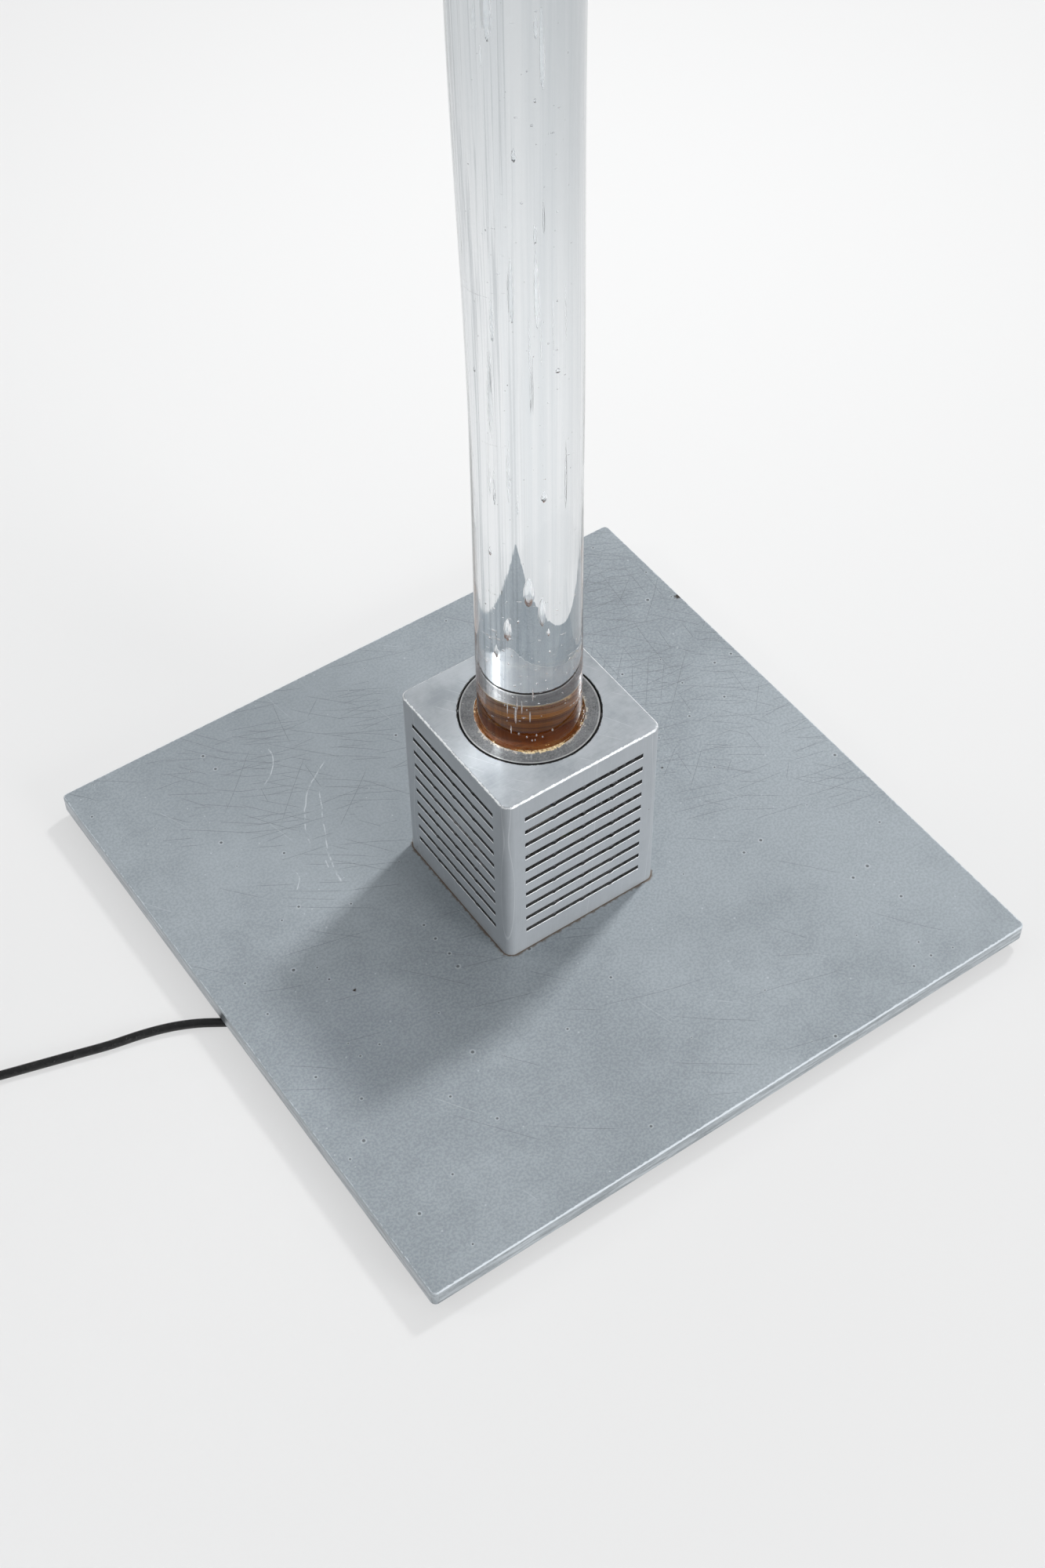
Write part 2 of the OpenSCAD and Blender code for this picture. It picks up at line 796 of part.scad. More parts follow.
// Route of a core from the lead's end down into one pole
function supply_route(pole) =
    let (y = pole * block_pitch, start_y = pole * (core_d / 2 + 0.1), start_x = tail_x + (pole == 0 ? 1.3 : -0.8))
    [
        [start_x, start_y, tail_top_z + 0.1], [start_x, start_y, tail_top_z + 3],
        [tail_x + 3.5, y * 0.6, tail_top_z + 6], [tail_x + 8, y * 0.9, tail_top_z + 4],
        [tail_x + 11, y, block_entry_z + 4], [-block_l / 2 - 3, y, block_entry_z],
        [-block_l / 4, y, block_entry_z]
    ];

// Route of a core from one pole up to the side of the lampholder
function holder_route(pole) =
    let (y = pole * block_pitch, reach = holder_d / 2)
    [
        [block_l / 4, y, block_entry_z], [block_l / 2 + 2, y, block_entry_z],
        [reach + 5, y * 0.9, block_entry_z + 5], [reach + 8, y * 0.8, (block_entry_z + bracket_top_z) / 2 + 4],
        [reach + 6, y * 0.6, bracket_top_z + 3], [reach + 2, y * 0.4, bracket_top_z + 6],
        [reach + 0.1, y * 0.4, bracket_top_z + 6]
    ];

module core(route) {
    swept_tube(smooth_route(route, 3), core_d, 8, [0, 1, 0]);
}

module wire_live() {
    color("saddlebrown") {
        core(supply_route(-1));
        core(holder_route(-1));
    }
}

module wire_neutral() {
    color("royalblue") {
        core(supply_route(1));
        core(holder_route(1));
    }
}

// Earth core, with the ring tag that the earth screw clamps to the flange
module wire_earth() {
    tag_t = 1;
    tag_d = 7;
    color("yellowgreen") {
        core(supply_route(0));
        core([
            [block_l / 4, 0, block_entry_z], [block_l / 2 + 3, 0, block_entry_z],
            [block_l / 2 + 10, 0, block_entry_z - 1], [lug_x - 10, 0, flange_top_z + core_d / 2 + 0.6],
            [lug_x - tag_d / 2 - 1.5, 0, flange_top_z + core_d / 2 + 0.1],
            [lug_x - tag_d / 2, 0, flange_top_z + core_d / 2 + 0.1]
        ]);
        difference() {
            translate([lug_x, 0, flange_top_z])
                cylinder(h = tag_t, d = tag_d);
            translate([lug_x, 0, flange_top_z - 1])
                cylinder(h = tag_t + 2, d = small_screw_d + 2 * screw_gap);
        }
    }
}

module earth_screw() {
    color(brass_yellow)
        translate([lug_x, 0, flange_top_z + 1])
            pan_screw(small_screw_d, flange_t, small_head_d, small_head_h);
}

// Rubber lining of the lead's slot
module cable_grommet() {
    color(rubber_black)
        difference() {
            union() {
                translate([0, 0, plate_z])
                    gland_slot(gland_w - 0.2, plate_t + flange_t);
                translate([0, 0, flange_top_z])
                    gland_slot(gland_w + 2 * grommet_lip, grommet_lip);
            }
            translate([0, 0, plate_z - 1])
                gland_slot(gland_w - 2 * grommet_wall, plate_t + flange_t + grommet_lip + 2);
        }
}

// The stretch of lead that the lamp holds: down through the grommet and out under the plate
module cord_tail() {
    color(rubber_black) {
        translate([tail_x, 0, tail_bend_z])
            cylinder(h = tail_top_z - tail_bend_z, d = cord_d);
        translate([tail_out_x, 0, tail_bend_z])
            rotate([90, 0, 0])
                rotate([0, 0, 270])
                    rotate_extrude(angle = 90)
                        translate([tail_bend_r, 0])
                            circle(d = cord_d);
        translate([clamp_end_x, 0, held_z])
            rotate([0, 90, 0])
                cylinder(h = tail_out_x - clamp_end_x, d = cord_d);
    }
}

// Saddle that presses the lead against the plate's underside
module cord_clamp() {
    saddle_r = cord_r + 0.1 + clamp_t;
    ear_w = clamp_screw_y + 5;
    color(bright_steel)
        difference() {
            translate([clamp_x, 0, 0])
                rotate([90, 0, 90])
                    linear_extrude(clamp_w, center = true)
                        difference() {
                            union() {
                                translate([0, held_z])
                                    circle(saddle_r);
                                translate([-saddle_r, held_z])
                                    square([2 * saddle_r, plate_z - held_z]);
                                translate([-ear_w, plate_z - clamp_t])
                                    square([2 * ear_w, clamp_t]);
                            }
                            translate([0, held_z])
                                circle(cord_r + 0.1);
                            translate([-cord_r - 0.1, held_z])
                                square([cord_d + 0.2, plate_z]);
                            translate([-2 * ear_w, plate_z])
                                square([4 * ear_w, plate_z]);
                            translate([-2 * ear_w, -plate_z])
                                square([4 * ear_w, plate_z + 0.2]);
                        }
            for (y = [-1, 1])
                translate([clamp_x, y * clamp_screw_y, plate_z - clamp_t - 1])
                    cylinder(h = clamp_t + 2, d = small_screw_d + 2 * screw_gap);
        }
}

module clamp_screws() {
    color(bright_steel)
        for (y = [-1, 1])
            translate([clamp_x, y * clamp_screw_y, plate_z - clamp_t])
                mirror([0, 0, 1])
                    pan_screw(small_screw_d, small_screw_l, small_head_d, small_head_h);
}

// A free stretch of the lead, which nowhere sinks into the floor
module free_lead(route) {
    color(rubber_black)
        swept_tube([for (p = smooth_route(route, 2)) [p.x, p.y, max(p.z, cord_r)]], cord_d, 10);
}

module cord_lead() {
    free_lead(lead_route);
}

module cord_link() {
    free_lead(link_route);
}

module cord_end() {
    free_lead(end_route);
}

// Solid of the switch's outline, chamfered at the top
module switch_block(l, w, h, c) {
    linear_extrude(h - c)
        slot_outline(l, w);
    translate([0, 0, h - c]) {
        rotate([90, 0, 90])
            linear_extrude(l - w, center = true)
                polygon([[-w / 2, 0], [w / 2, 0], [w / 2 - c, c], [-w / 2 + c, c]]);
        for (x = [-1, 1])
            translate([x * (l - w) / 2, 0, 0])
                cylinder(h = c, d1 = w, d2 = w - 2 * c);
    }
}

module at_switch() {
    translate([switch_x, switch_y, 0])
        children();
}

module at_switch_screws() {
    for (x = [-1, 1], y = [-1, 1])
        translate([x * switch_screw_x, y * switch_screw_y, 0])
            children();
}

// Half-round cut that holds a sleeve in a shell's end wall
module boot_cut() {
    translate([0, 0, switch_axis_z])
        rotate([0, 90, 0])
            cylinder(h = switch_l + 10, d = boot_d - 2 * seam, center = true);
}

module switch_base() {
    color(rubber_black)
        at_switch()
            difference() {
                union() {
                    difference() {
                        linear_extrude(switch_base_h)
                            slot_outline(switch_l, switch_w);
                        translate([0, 0, switch_wall])
                            linear_extrude(switch_base_h)
                                slot_outline(switch_l - 2 * switch_wall, switch_w - 2 * switch_wall);
                    }
                    at_switch_screws()
                        cylinder(h = switch_wall + 1, d = small_head_d + 3);
                }
                at_switch_screws() {
                    translate([0, 0, -1])
                        cylinder(h = switch_base_h, d = small_screw_d + 2 * screw_gap);
                    translate([0, 0, -1])
                        cylinder(h = small_head_h + 1.2, d = small_head_d + 0.4);
                }
                boot_cut();
            }
}

module switch_cover() {
    shell_h = switch_h - switch_base_h - seam;
    color(rubber_black)
        at_switch()
            difference() {
                translate([0, 0, switch_base_h + seam])
                    union() {
                        difference() {
                            switch_block(switch_l, switch_w, shell_h, cover_chamfer);
                            translate([0, 0, -1])
                                switch_block(switch_l - 2 * switch_wall, switch_w - 2 * switch_wall,
                                    shell_h - switch_wall + 1, cover_chamfer);
                        }
                        at_switch_screws()
                            cylinder(h = shell_h - 1, d = screw_boss_d);
                    }
                cylinder(h = switch_h + 1, d = button_d + 2 * button_gap);
                at_switch_screws()
                    cylinder(h = switch_base_h + 9, d = small_screw_d + 2 * screw_gap);
                boot_cut();
            }
}

// Push button with a retaining collar inside and a dished top
module switch_button() {
    top_z = switch_h + button_rise;
    color(dark_steel)
        at_switch()
            difference() {
                union() {
                    translate([0, 0, button_under_z])
                        cylinder(h = button_collar, d = button_d + 4);
                    translate([0, 0, button_under_z])
                        cylinder(h = top_z - 1 - button_under_z, d = button_d);
                    translate([0, 0, top_z - 1])
                        cylinder(h = 1, d1 = button_d, d2 = button_d - 2);
                }
                translate([0, 0, top_z - 0.6])
                    cylinder(h = 1, d = button_d * 0.6);
            }
}

// Sealed push-push contact block with its plunger
module switch_module() {
    color(milky_white)
        at_switch()
            translate([0, 0, module_z]) {
                translate([0, 0, module_h / 2 - 0.75])
                    cube([module_l, module_w, module_h - 1.5], center = true);
                translate([0, 0, module_h - 1.51])
                    cylinder(h = 1.51, d = 9);
            }
}

module switch_screws() {
    color(bright_steel)
        at_switch()
            at_switch_screws()
                translate([0, 0, small_head_h + 0.2])
                    mirror([0, 0, 1])
                        pan_screw(small_screw_d, switch_base_h + 6, small_head_d, small_head_h);
}

// A sleeve that tapers along +X from the housing it is held in
module tapered_boot() {
    rotate([0, 90, 0])
        cylinder(h = boot_l, d1 = boot_d, d2 = boot_thin_d);
}

module switch_boots() {
    color(rubber_black)
        at_switch()
            for (turn = [0, 180])
                rotate([0, 0, turn])
                    translate([switch_l / 2 + 0.1, 0, switch_axis_z]) {
                        translate([-0.1, 0, 0])
                            tapered_boot();
                        translate([-switch_wall - 0.1 - 3, 0, 0])
                            rotate([0, 90, 0])
                                cylinder(h = switch_wall + 3.1, d = boot_d - 4 * seam);
                    }
}

// Place and height of the coil's middle line after so many turns
function coil_r(u) =
    u <= coil_turns ? coil_out_r - coil_pitch * u
    : u <= coil_turns + 0.5 ? coil_in_r - coil_dip * sin(360 * (u - coil_turns))
    : coil_in_r + coil_pitch * (u - coil_turns - 0.5);
function ease(t) = t * t * (3 - 2 * t);
function coil_z(u) = cord_r + coil_step * ease(min(1, max(0, 2 * (u - coil_turns))));
function coil_at(u) =
    [coil_x - coil_r(u) * cos(360 * u), coil_y + coil_r(u) * sin(360 * u), coil_z(u)];
coil_ring_count = coil_total * coil_rings;
coil_line = [
    coil_at(0) - [0, cord_d, 0],
    coil_at(0) - [0, cord_d / 2, 0],
    for (i = [0 : coil_ring_count]) coil_at(i / coil_rings),
    coil_at(coil_total) + [cord_d / 2, 0, 0],
    coil_at(coil_total) + [cord_d, 0, 0]
];

// Least clear space between turns, from points at least a third of a turn apart
function least(v, i = 0, m = 1e9) = i >= len(v) ? m : least(v, i + 1, min(m, v[i]));
coil_clear = least([
    for (i = [0 : len(coil_line) - 1])
        least([for (j = [i + coil_rings / 3 : 1 : len(coil_line) - 1]) norm(coil_line[i] - coil_line[j])])
]) - cord_d;
echo(coil_least_gap = coil_clear);

module cord_coil() {
    color(rubber_black)
        swept_tube(coil_line, cord_d, coil_sides);
}

// Everything on the plug is drawn along +X from the thin end of its sleeve
module at_plug() {
    translate([plug_x, plug_y, plug_z])
        children();
}

module plug_body() {
    head_x = boot_l + plug_grip_l;
    color(rubber_black)
        at_plug()
            difference() {
                rotate([0, 90, 0])
                    rotate_extrude()
                        polygon([
                            [0, 0], [boot_thin_d / 2, 0], [boot_d / 2, boot_l], [grip_d / 2 - 1, boot_l],
                            [grip_d / 2, boot_l + 1],
                            for (i = [1 : 6])
                                let (t = i / 6)
                                [grip_d / 2 + (plug_d - grip_d) / 2 * ease(t), boot_l + plug_grip_l * t],
                            [plug_d / 2, plug_l - 1], [plug_d / 2 - 1, plug_l], [0, plug_l]
                        ]);
                for (z = [-1, 1])
                    translate([head_x + 4 + plug_head_l / 2, 0, z * plug_d / 2])
                        cube([plug_head_l, clip_w + 1, 2 * (clip_t + 0.6)], center = true);
                for (y = [-1, 1])
                    translate([plug_l - 6, y * pin_pitch / 2, 0])
                        rotate([0, 90, 0])
                            cylinder(h = 8, d = pin_d);
            }
}

module plug_pins() {
    color(bright_steel)
        at_plug()
            for (y = [-1, 1])
                translate([plug_l - 6, y * pin_pitch / 2, 0])
                    rotate([0, 90, 0]) {
                        cylinder(h = pin_l + 5, d = pin_d);
                        translate([0, 0, pin_l + 5])
                            cylinder(h = 1, d1 = pin_d, d2 = pin_d - 1.6);
                    }
}

// Side contacts that lie in the grooves of the head
module plug_earth_clips() {
    clip_l = plug_head_l - 5;
    color(brass_yellow)
        at_plug()
            for (z = [-1, 1])
                translate([plug_l - clip_l / 2 - 0.5, 0, z * (plug_d / 2 - clip_t / 2 - 0.6 - clip_gap / 2 + 0.05)])
                    cube([clip_l, clip_w, clip_t], center = true);
}

base_plate();
base_feet();
foot_screws();
housing();
centring_flange();
collar_pillars();
pillar_screws();
collar_studs();
collar();
seat_ring();
resin_seat();
bubble_rod();
reflector_bulb();
bulb_pins();
lampholder();
holder_bracket();
bracket_screws();
holder_screws();
terminal_block();
terminal_screws();
wire_live();
wire_neutral();
wire_earth();
earth_screw();
cable_grommet();
cord_tail();
cord_clamp();
clamp_screws();
cord_lead();
switch_base();
switch_cover();
switch_button();
switch_module();
switch_screws();
switch_boots();
cord_link();
cord_coil();
cord_end();
plug_body();
plug_pins();
plug_earth_clips();
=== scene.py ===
"""Looks of a floor lamp: a solid clear rod full of drawn-out air bubbles on a slotted housing.

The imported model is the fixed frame. Everything here is in metres, Z up, with the origin on the
floor below the middle of the steel plate. The camera stands in front on the left and looks down.
"""

import logging
import math
from collections.abc import Callable, Iterable, Mapping, Sequence
from dataclasses import dataclass
from enum import Enum
from functools import partial, partialmethod, reduce

import bmesh
import bpy
from mathutils import Matrix, Vector


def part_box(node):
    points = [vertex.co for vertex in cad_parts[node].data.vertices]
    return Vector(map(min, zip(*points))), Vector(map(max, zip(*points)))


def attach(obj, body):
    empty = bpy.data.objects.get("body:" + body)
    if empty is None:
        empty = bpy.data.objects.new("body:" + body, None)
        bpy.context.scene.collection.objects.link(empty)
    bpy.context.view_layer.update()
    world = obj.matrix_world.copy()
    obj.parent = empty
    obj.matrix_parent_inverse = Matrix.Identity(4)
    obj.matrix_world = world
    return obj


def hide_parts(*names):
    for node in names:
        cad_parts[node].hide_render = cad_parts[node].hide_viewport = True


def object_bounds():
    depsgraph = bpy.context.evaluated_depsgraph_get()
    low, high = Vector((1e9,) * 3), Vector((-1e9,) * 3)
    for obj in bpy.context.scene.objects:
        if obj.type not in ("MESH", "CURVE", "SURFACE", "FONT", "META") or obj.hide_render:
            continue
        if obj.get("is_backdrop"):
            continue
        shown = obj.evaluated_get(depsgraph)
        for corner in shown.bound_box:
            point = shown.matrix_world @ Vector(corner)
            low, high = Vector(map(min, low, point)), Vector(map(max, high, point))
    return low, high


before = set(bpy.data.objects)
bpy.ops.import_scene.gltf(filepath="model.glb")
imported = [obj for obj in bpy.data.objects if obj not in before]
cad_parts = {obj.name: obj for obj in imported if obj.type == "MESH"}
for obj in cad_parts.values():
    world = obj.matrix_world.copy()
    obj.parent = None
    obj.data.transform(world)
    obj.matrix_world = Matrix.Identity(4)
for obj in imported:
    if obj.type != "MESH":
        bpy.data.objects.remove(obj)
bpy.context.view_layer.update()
PLATE_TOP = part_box("base_plate")[1]
HOUSING_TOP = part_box("housing")[1]
COLLAR_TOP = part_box("collar")[1]

LOG = logging.getLogger("bubble_rod_lamp")
WELD_DISTANCE = 2e-6
FLAT_ANGLE = math.radians(0.4)
SHARP_ANGLE = math.radians(32)
FLAT_FACE_WEIGHT = 80

Point = tuple[float, float, float]
Colour = tuple[float, float, float]
Range = tuple[float, float]


class Body(Enum):
    """The bodies that move on their own."""

    LAMP = "lamp"
    HOUSING = "housing_cover"
    BUTTON = "foot_button"


# Node trees


class Value:
    """A number, vector or colour in a node tree; reckoning with it adds nodes to the tree."""

    def __init__(self, bench: "Bench", socket: bpy.types.NodeSocket) -> None:
        """Stand for an output of the bench's tree."""
        self.bench = bench
        self.socket = socket

    def math(self, operation: str, other: "Plug | None" = None, swap: bool = False) -> "Value":
        """Work out one operation.

        Args:
            operation: Blender's name of it.
            other: The second number or vector, if it takes one.
            swap: Whether the other comes first.

        Returns:
            A number if both are numbers, and else a vector, or its LENGTH or DOT_PRODUCT.
        """
        number = self.socket.type in ("VALUE", "INT")
        if isinstance(other, Value):
            number = number and other.socket.type in ("VALUE", "INT")
        elif other is not None:
            number = number and isinstance(other, (int, float))
        plugs = {int(swap): self} if other is None else {int(swap): self, int(not swap): other}
        kind = "ShaderNodeMath" if number else "ShaderNodeVectorMath"
        output = "Value" if number or operation in ("LENGTH", "DOT_PRODUCT") else "Vector"
        return self.bench.value(kind, plugs, output, operation=operation)

    __add__ = partialmethod(math, "ADD")
    __radd__ = partialmethod(math, "ADD", swap=True)
    __sub__ = partialmethod(math, "SUBTRACT")
    __rsub__ = partialmethod(math, "SUBTRACT", swap=True)
    __mul__ = partialmethod(math, "MULTIPLY")
    __truediv__ = partialmethod(math, "DIVIDE")
    __mod__ = partialmethod(math, "MODULO")
    __abs__ = partialmethod(math, "ABSOLUTE")
    max = partialmethod(math, "MAXIMUM")
    min = partialmethod(math, "MINIMUM")
    above = partialmethod(math, "GREATER_THAN")
    below = partialmethod(math, "LESS_THAN")

    def split(self) -> tuple["Value", ...]:
        """The three numbers of a vector."""
        node = self.bench.add("ShaderNodeSeparateXYZ", {0: self})
        return tuple(Value(self.bench, output) for output in node.outputs)

    def spread(self, low: "Plug", high: "Plug", start: "Plug" = 0.0, end: "Plug" = 1.0) -> "Value":
        """Bring a number from one range softly to another, held at its ends."""
        plugs = {"Value": self, "From Min": low, "From Max": high, "To Min": start, "To Max": end}
        return self.bench.value("ShaderNodeMapRange", plugs, interpolation_type="SMOOTHSTEP")

    def within(self, reach: "Value", core: float = 0.6) -> "Value":
        """1 up to a share of the reach, and from there softly down to 0 at the whole of it."""
        return self.spread(reach * core, reach, 1.0, 0.0)


Plug = float | Sequence[float] | bpy.types.Material | Value
Plugs = Mapping[str | int, Plug]
Given = Mapping[str, Value]


class Bench:
    """Adds the nodes of one tree and joins them."""

    def __init__(self, tree: bpy.types.NodeTree) -> None:
        """Work on this tree."""
        self.tree = tree

    def add(self, kind: str, plugs: Plugs | None = None, **settings: object) -> bpy.types.Node:
        """Add a node.

        Args:
            kind: Blender's name of the node type.
            plugs: What goes into its inputs, by name or number.
            **settings: The node's own properties.

        Returns:
            The new node.
        """
        node = self.tree.nodes.new(kind)
        for key, setting in settings.items():
            setattr(node, key, setting)
        for key, plug in (plugs or {}).items():
            self.feed(node.inputs[key], plug)
        return node

    def value(
        self, kind: str, plugs: Plugs | None = None, output: str | int = 0, **settings: object
    ) -> Value:
        """Add a node, as add does, for one of its outputs."""
        return Value(self, self.add(kind, plugs, **settings).outputs[output])

    def feed(self, socket: bpy.types.NodeSocket, plug: Plug) -> None:
        """Join an input to a value of the tree, or give it a fixed one.

        Args:
            socket: The input.
            plug: The value, number, vector, colour or material.
        """
        if isinstance(plug, Value):
            self.tree.links.new(plug.socket, socket)
        elif socket.type == "RGBA" and len(plug) == 3:
            socket.default_value = (*plug, 1.0)
        else:
            socket.default_value = plug

    def given(self) -> Given:
        """The tree's own inputs, by name."""
        outputs = self.add("NodeGroupInput").outputs
        return {socket.name: Value(self, socket) for socket in outputs if socket.name}

    def combine(self, x: Plug = 0.0, y: Plug = 0.0, z: Plug = 0.0) -> Value:
        """A vector made from three numbers."""
        return self.value("ShaderNodeCombineXYZ", {0: x, 1: y, 2: z})

    def mix(self, share: Plug, a: Plug, b: Plug, blend: str = "MIX") -> Value:
        """A blend of two colours."""
        return self.value("ShaderNodeMix", {0: share, 6: a, 7: b}, 2, data_type="RGBA", blend_type=blend)

    def stained(self, colour: Plug, *stains: tuple[Value, Plug]) -> Value:
        """A colour with others over it, each where its mask says."""
        return reduce(lambda under, stain: self.mix(stain[0], under, stain[1]), stains, colour)

    def blend(self, share: Plug, a: Plug, b: Plug) -> Value:
        """A blend of two numbers."""
        return self.value("ShaderNodeMix", {0: share, 2: a, 3: b}, data_type="FLOAT")

    def noise(
        self, scale: Plug, detail: float = 2.0, rough: float = 0.5, place: Value | None = None
    ) -> Value:
        """Smooth noise from 0 to 1."""
        plugs = {"Vector": place or self.here(), "Scale": scale, "Detail": detail, "Roughness": rough}
        return self.value("ShaderNodeTexNoise", plugs)

    def here(self) -> Value:
        """The place on the piece, in metres of the model."""
        return self.value("ShaderNodeTexCoord", output="Object")

    def height(self) -> Value:
        """Height above the floor."""
        return self.here().split()[2]

    def radius(self) -> Value:
        """Distance from the Z axis."""
        x, y, _ = self.here().split()
        return self.combine(x, y).math("LENGTH")

    def away(self, point: Point) -> Value:
        """Distance from a point."""
        return (self.here() - point).math("LENGTH")

    def up(self) -> Value:
        """How far the surface faces up: 1 on a level top, 0 on a wall, and less below."""
        return self.value("ShaderNodeNewGeometry", output="Normal").split()[2]

    def effect(self, effect: "Effect", **plugs: Plug) -> Value:
        """Place a shared effect.

        Args:
            effect: The effect to place.
            **plugs: Its inputs, by their names with underscores for spaces.

        Returns:
            Its one output.
        """
        named = {key.replace("_", " "): plug for key, plug in plugs.items()}
        return self.value("ShaderNodeGroup", named, node_tree=effect.group())


class Surface(Bench):
    """The bench of a new material, with its Principled node."""

    def __init__(self, name: str) -> None:
        """Make the material and its shader.

        Args:
            name: The material's name.
        """
        self.material = bpy.data.materials.new(name)
        self.material.use_nodes = True
        self.material.node_tree.nodes.clear()
        super().__init__(self.material.node_tree)
        self.shader = self.add("ShaderNodeBsdfPrincipled")
        self.add("ShaderNodeOutputMaterial", {"Surface": Value(self, self.shader.outputs[0])})

    def set(self, **plugs: Plug) -> None:
        """Feed the shader's inputs, by their names with underscores for spaces."""
        for key, plug in plugs.items():
            self.feed(self.shader.inputs[key.replace("_", " ")], plug)

    def bump(self, height: Value, depth: float, strength: float = 1.0) -> None:
        """Raise the surface by a height from 0 to 1 times depth, in metres."""
        plugs = {"Height": height, "Distance": depth, "Strength": strength}
        self.set(Normal=self.value("ShaderNodeBump", plugs))


def merged(masks: Iterable[Value]) -> Value:
    """The largest of several masks at each place."""
    return reduce(Value.max, masks)


# Shared effects


@dataclass(frozen=True)
class Effect:
    """A surface effect that several finishes share: a node group with named inputs and one output."""

    name: str
    output: str
    inputs: Mapping[str, float | Point]
    paint: Callable[[Bench, Given], Value]

    def group(self) -> bpy.types.NodeTree:
        """Build the effect's node group when it is first asked for.

        Returns:
            The node group.
        """
        found = bpy.data.node_groups.get(self.name)
        if found is not None:
            return found
        tree = bpy.data.node_groups.new(self.name, "ShaderNodeTree")
        for name, start in self.inputs.items():
            kind = "NodeSocketVector" if isinstance(start, tuple) else "NodeSocketFloat"
            tree.interface.new_socket(name, in_out="INPUT", socket_type=kind).default_value = start
        tree.interface.new_socket(self.output, in_out="OUTPUT", socket_type="NodeSocketFloat")
        bench = Bench(tree)
        bench.add("NodeGroupOutput", {0: self.paint(bench, bench.given())})
        return tree


def paint_mottle(bench: Bench, given: Given) -> Value:
    """Paint cloudy variation with a finer one over it.

    Args:
        bench: The effect's bench.
        given: The effect's inputs.

    Returns:
        A number round 0.5.
    """
    place = bench.here() * given["Stretch"]
    broad = bench.noise(given["Scale"], 3.0, 0.55, place)
    fine = bench.noise(given["Scale"] * 6.3, 2.0, 0.6, place)
    return bench.blend(given["Fine share"], broad, fine)


def paint_scratches(bench: Bench, given: Given) -> Value:
    """Paint slightly bent hair-thin lines along one direction, one at most in each long cell of a grid.

    Args:
        bench: The effect's bench.
        given: The effect's inputs.

    Returns:
        1 on a line and 0 off it.
    """
    here = bench.here()
    warp = bench.value("ShaderNodeTexNoise", {"Vector": here, "Scale": 6.0, "Detail": 1.0}, "Color")
    bent = here + warp * (0.022, 0.022, 0.0)
    plugs = {"Vector": bent, "Angle": given["Angle"]}
    x, y, _ = bench.value("ShaderNodeVectorRotate", plugs, rotation_type="Z_AXIS").split()
    along = x * given["Along"]
    across = y * given["Across"]
    cell = bench.combine(along.math("FLOOR"), across.math("FLOOR"), given["Angle"])
    draw = bench.add("ShaderNodeTexWhiteNoise", {"Vector": cell}, noise_dimensions="3D")
    place, lean, reach = Value(bench, draw.outputs["Color"]).split()
    along = along.math("FRACT") - 0.5
    across = across.math("FRACT") - 0.5
    off_line = across - (place - 0.5) * 0.4 - (lean - 0.5) * along
    line = (abs(off_line) / given["Across"]).spread(0.0, given["Thickness"], 1.0, 0.0)
    length = abs(along).within(0.12 + reach * 0.36)
    return line * length * Value(bench, draw.outputs["Value"]).below(given["Share"])


def paint_spots(bench: Bench, given: Given, dimensions: str) -> Value:
    """Paint round spots of uneven size, one at most in each cell.

    Args:
        bench: The effect's bench.
        given: The effect's inputs.
        dimensions: "3D" for cells in space, "2D" for cells on the XY plane.

    Returns:
        1 in a spot and 0 outside.
    """
    plugs = {"Vector": bench.here(), "Scale": given["Scale"]}
    cells = bench.add("ShaderNodeTexVoronoi", plugs, feature="F1", voronoi_dimensions=dimensions)
    chance, size, _ = Value(bench, cells.outputs["Color"]).split()
    spot = Value(bench, cells.outputs["Distance"]).within(given["Size"] * (size + 0.25))
    return spot * chance.below(given["Share"])


def paint_box_depth(bench: Bench, given: Given) -> Value:
    """Measure how deep a place lies inside an upright square block with round corners.

    Args:
        bench: The effect's bench.
        given: The effect's inputs.

    Returns:
        The depth, less than 0 outside.
    """
    x, y, _ = bench.here().split()
    straight = given["Half width"] - given["Corner"]
    out_x = abs(x) - straight
    out_y = abs(y) - straight
    reach = bench.combine(out_x.max(0.0), out_y.max(0.0)).math("LENGTH")
    return given["Corner"] - (reach + out_x.max(out_y).min(0.0))


def paint_edge_wear(bench: Bench, given: Given) -> Value:
    """Paint bare metal along the top edges of an upright square block, uneven as handling leaves it.

    Args:
        bench: The effect's bench.
        given: The effect's inputs.

    Returns:
        1 where the metal is bare and 0 elsewhere.
    """
    depth = bench.effect(BOX_DEPTH, Half_width=given["Half width"], Corner=given["Corner"])
    drop = abs(given["Top"] - bench.height())
    ragged = bench.noise(420.0, 3.0, 0.7).spread(0.3, 0.7, 0.65, 1.5)
    return depth.max(drop).within(given["Width"] * ragged, 0.75)


def paint_turned(bench: Bench, given: Given) -> Value:
    """Paint the fine lines that a lathe leaves round the Z axis.

    Args:
        bench: The effect's bench.
        given: The effect's inputs.

    Returns:
        A number round 0.5.
    """
    x, y, z = bench.here().split()
    sway = y.math("ARCTAN2", x).math("SINE") * 0.35
    place = bench.combine(bench.radius() * given["Radial"], z * given["Axial"], sway)
    return bench.noise(1.0, 3.0, 0.65, place)


def paint_brushed(bench: Bench, given: Given) -> Value:
    """Paint fine lines along one axis, which is the one with the small stretch."""
    return bench.noise(1.0, 3.0, 0.7, bench.here() * given["Stretch"])


def paint_dust(bench: Bench, given: Given) -> Value:
    """Paint dust that settles on what faces up, in patches."""
    patches = bench.noise(given["Scale"], 4.0, 0.65).spread(0.35, 0.75)
    return bench.up().spread(0.1, 0.9) * (patches * given["Amount"])


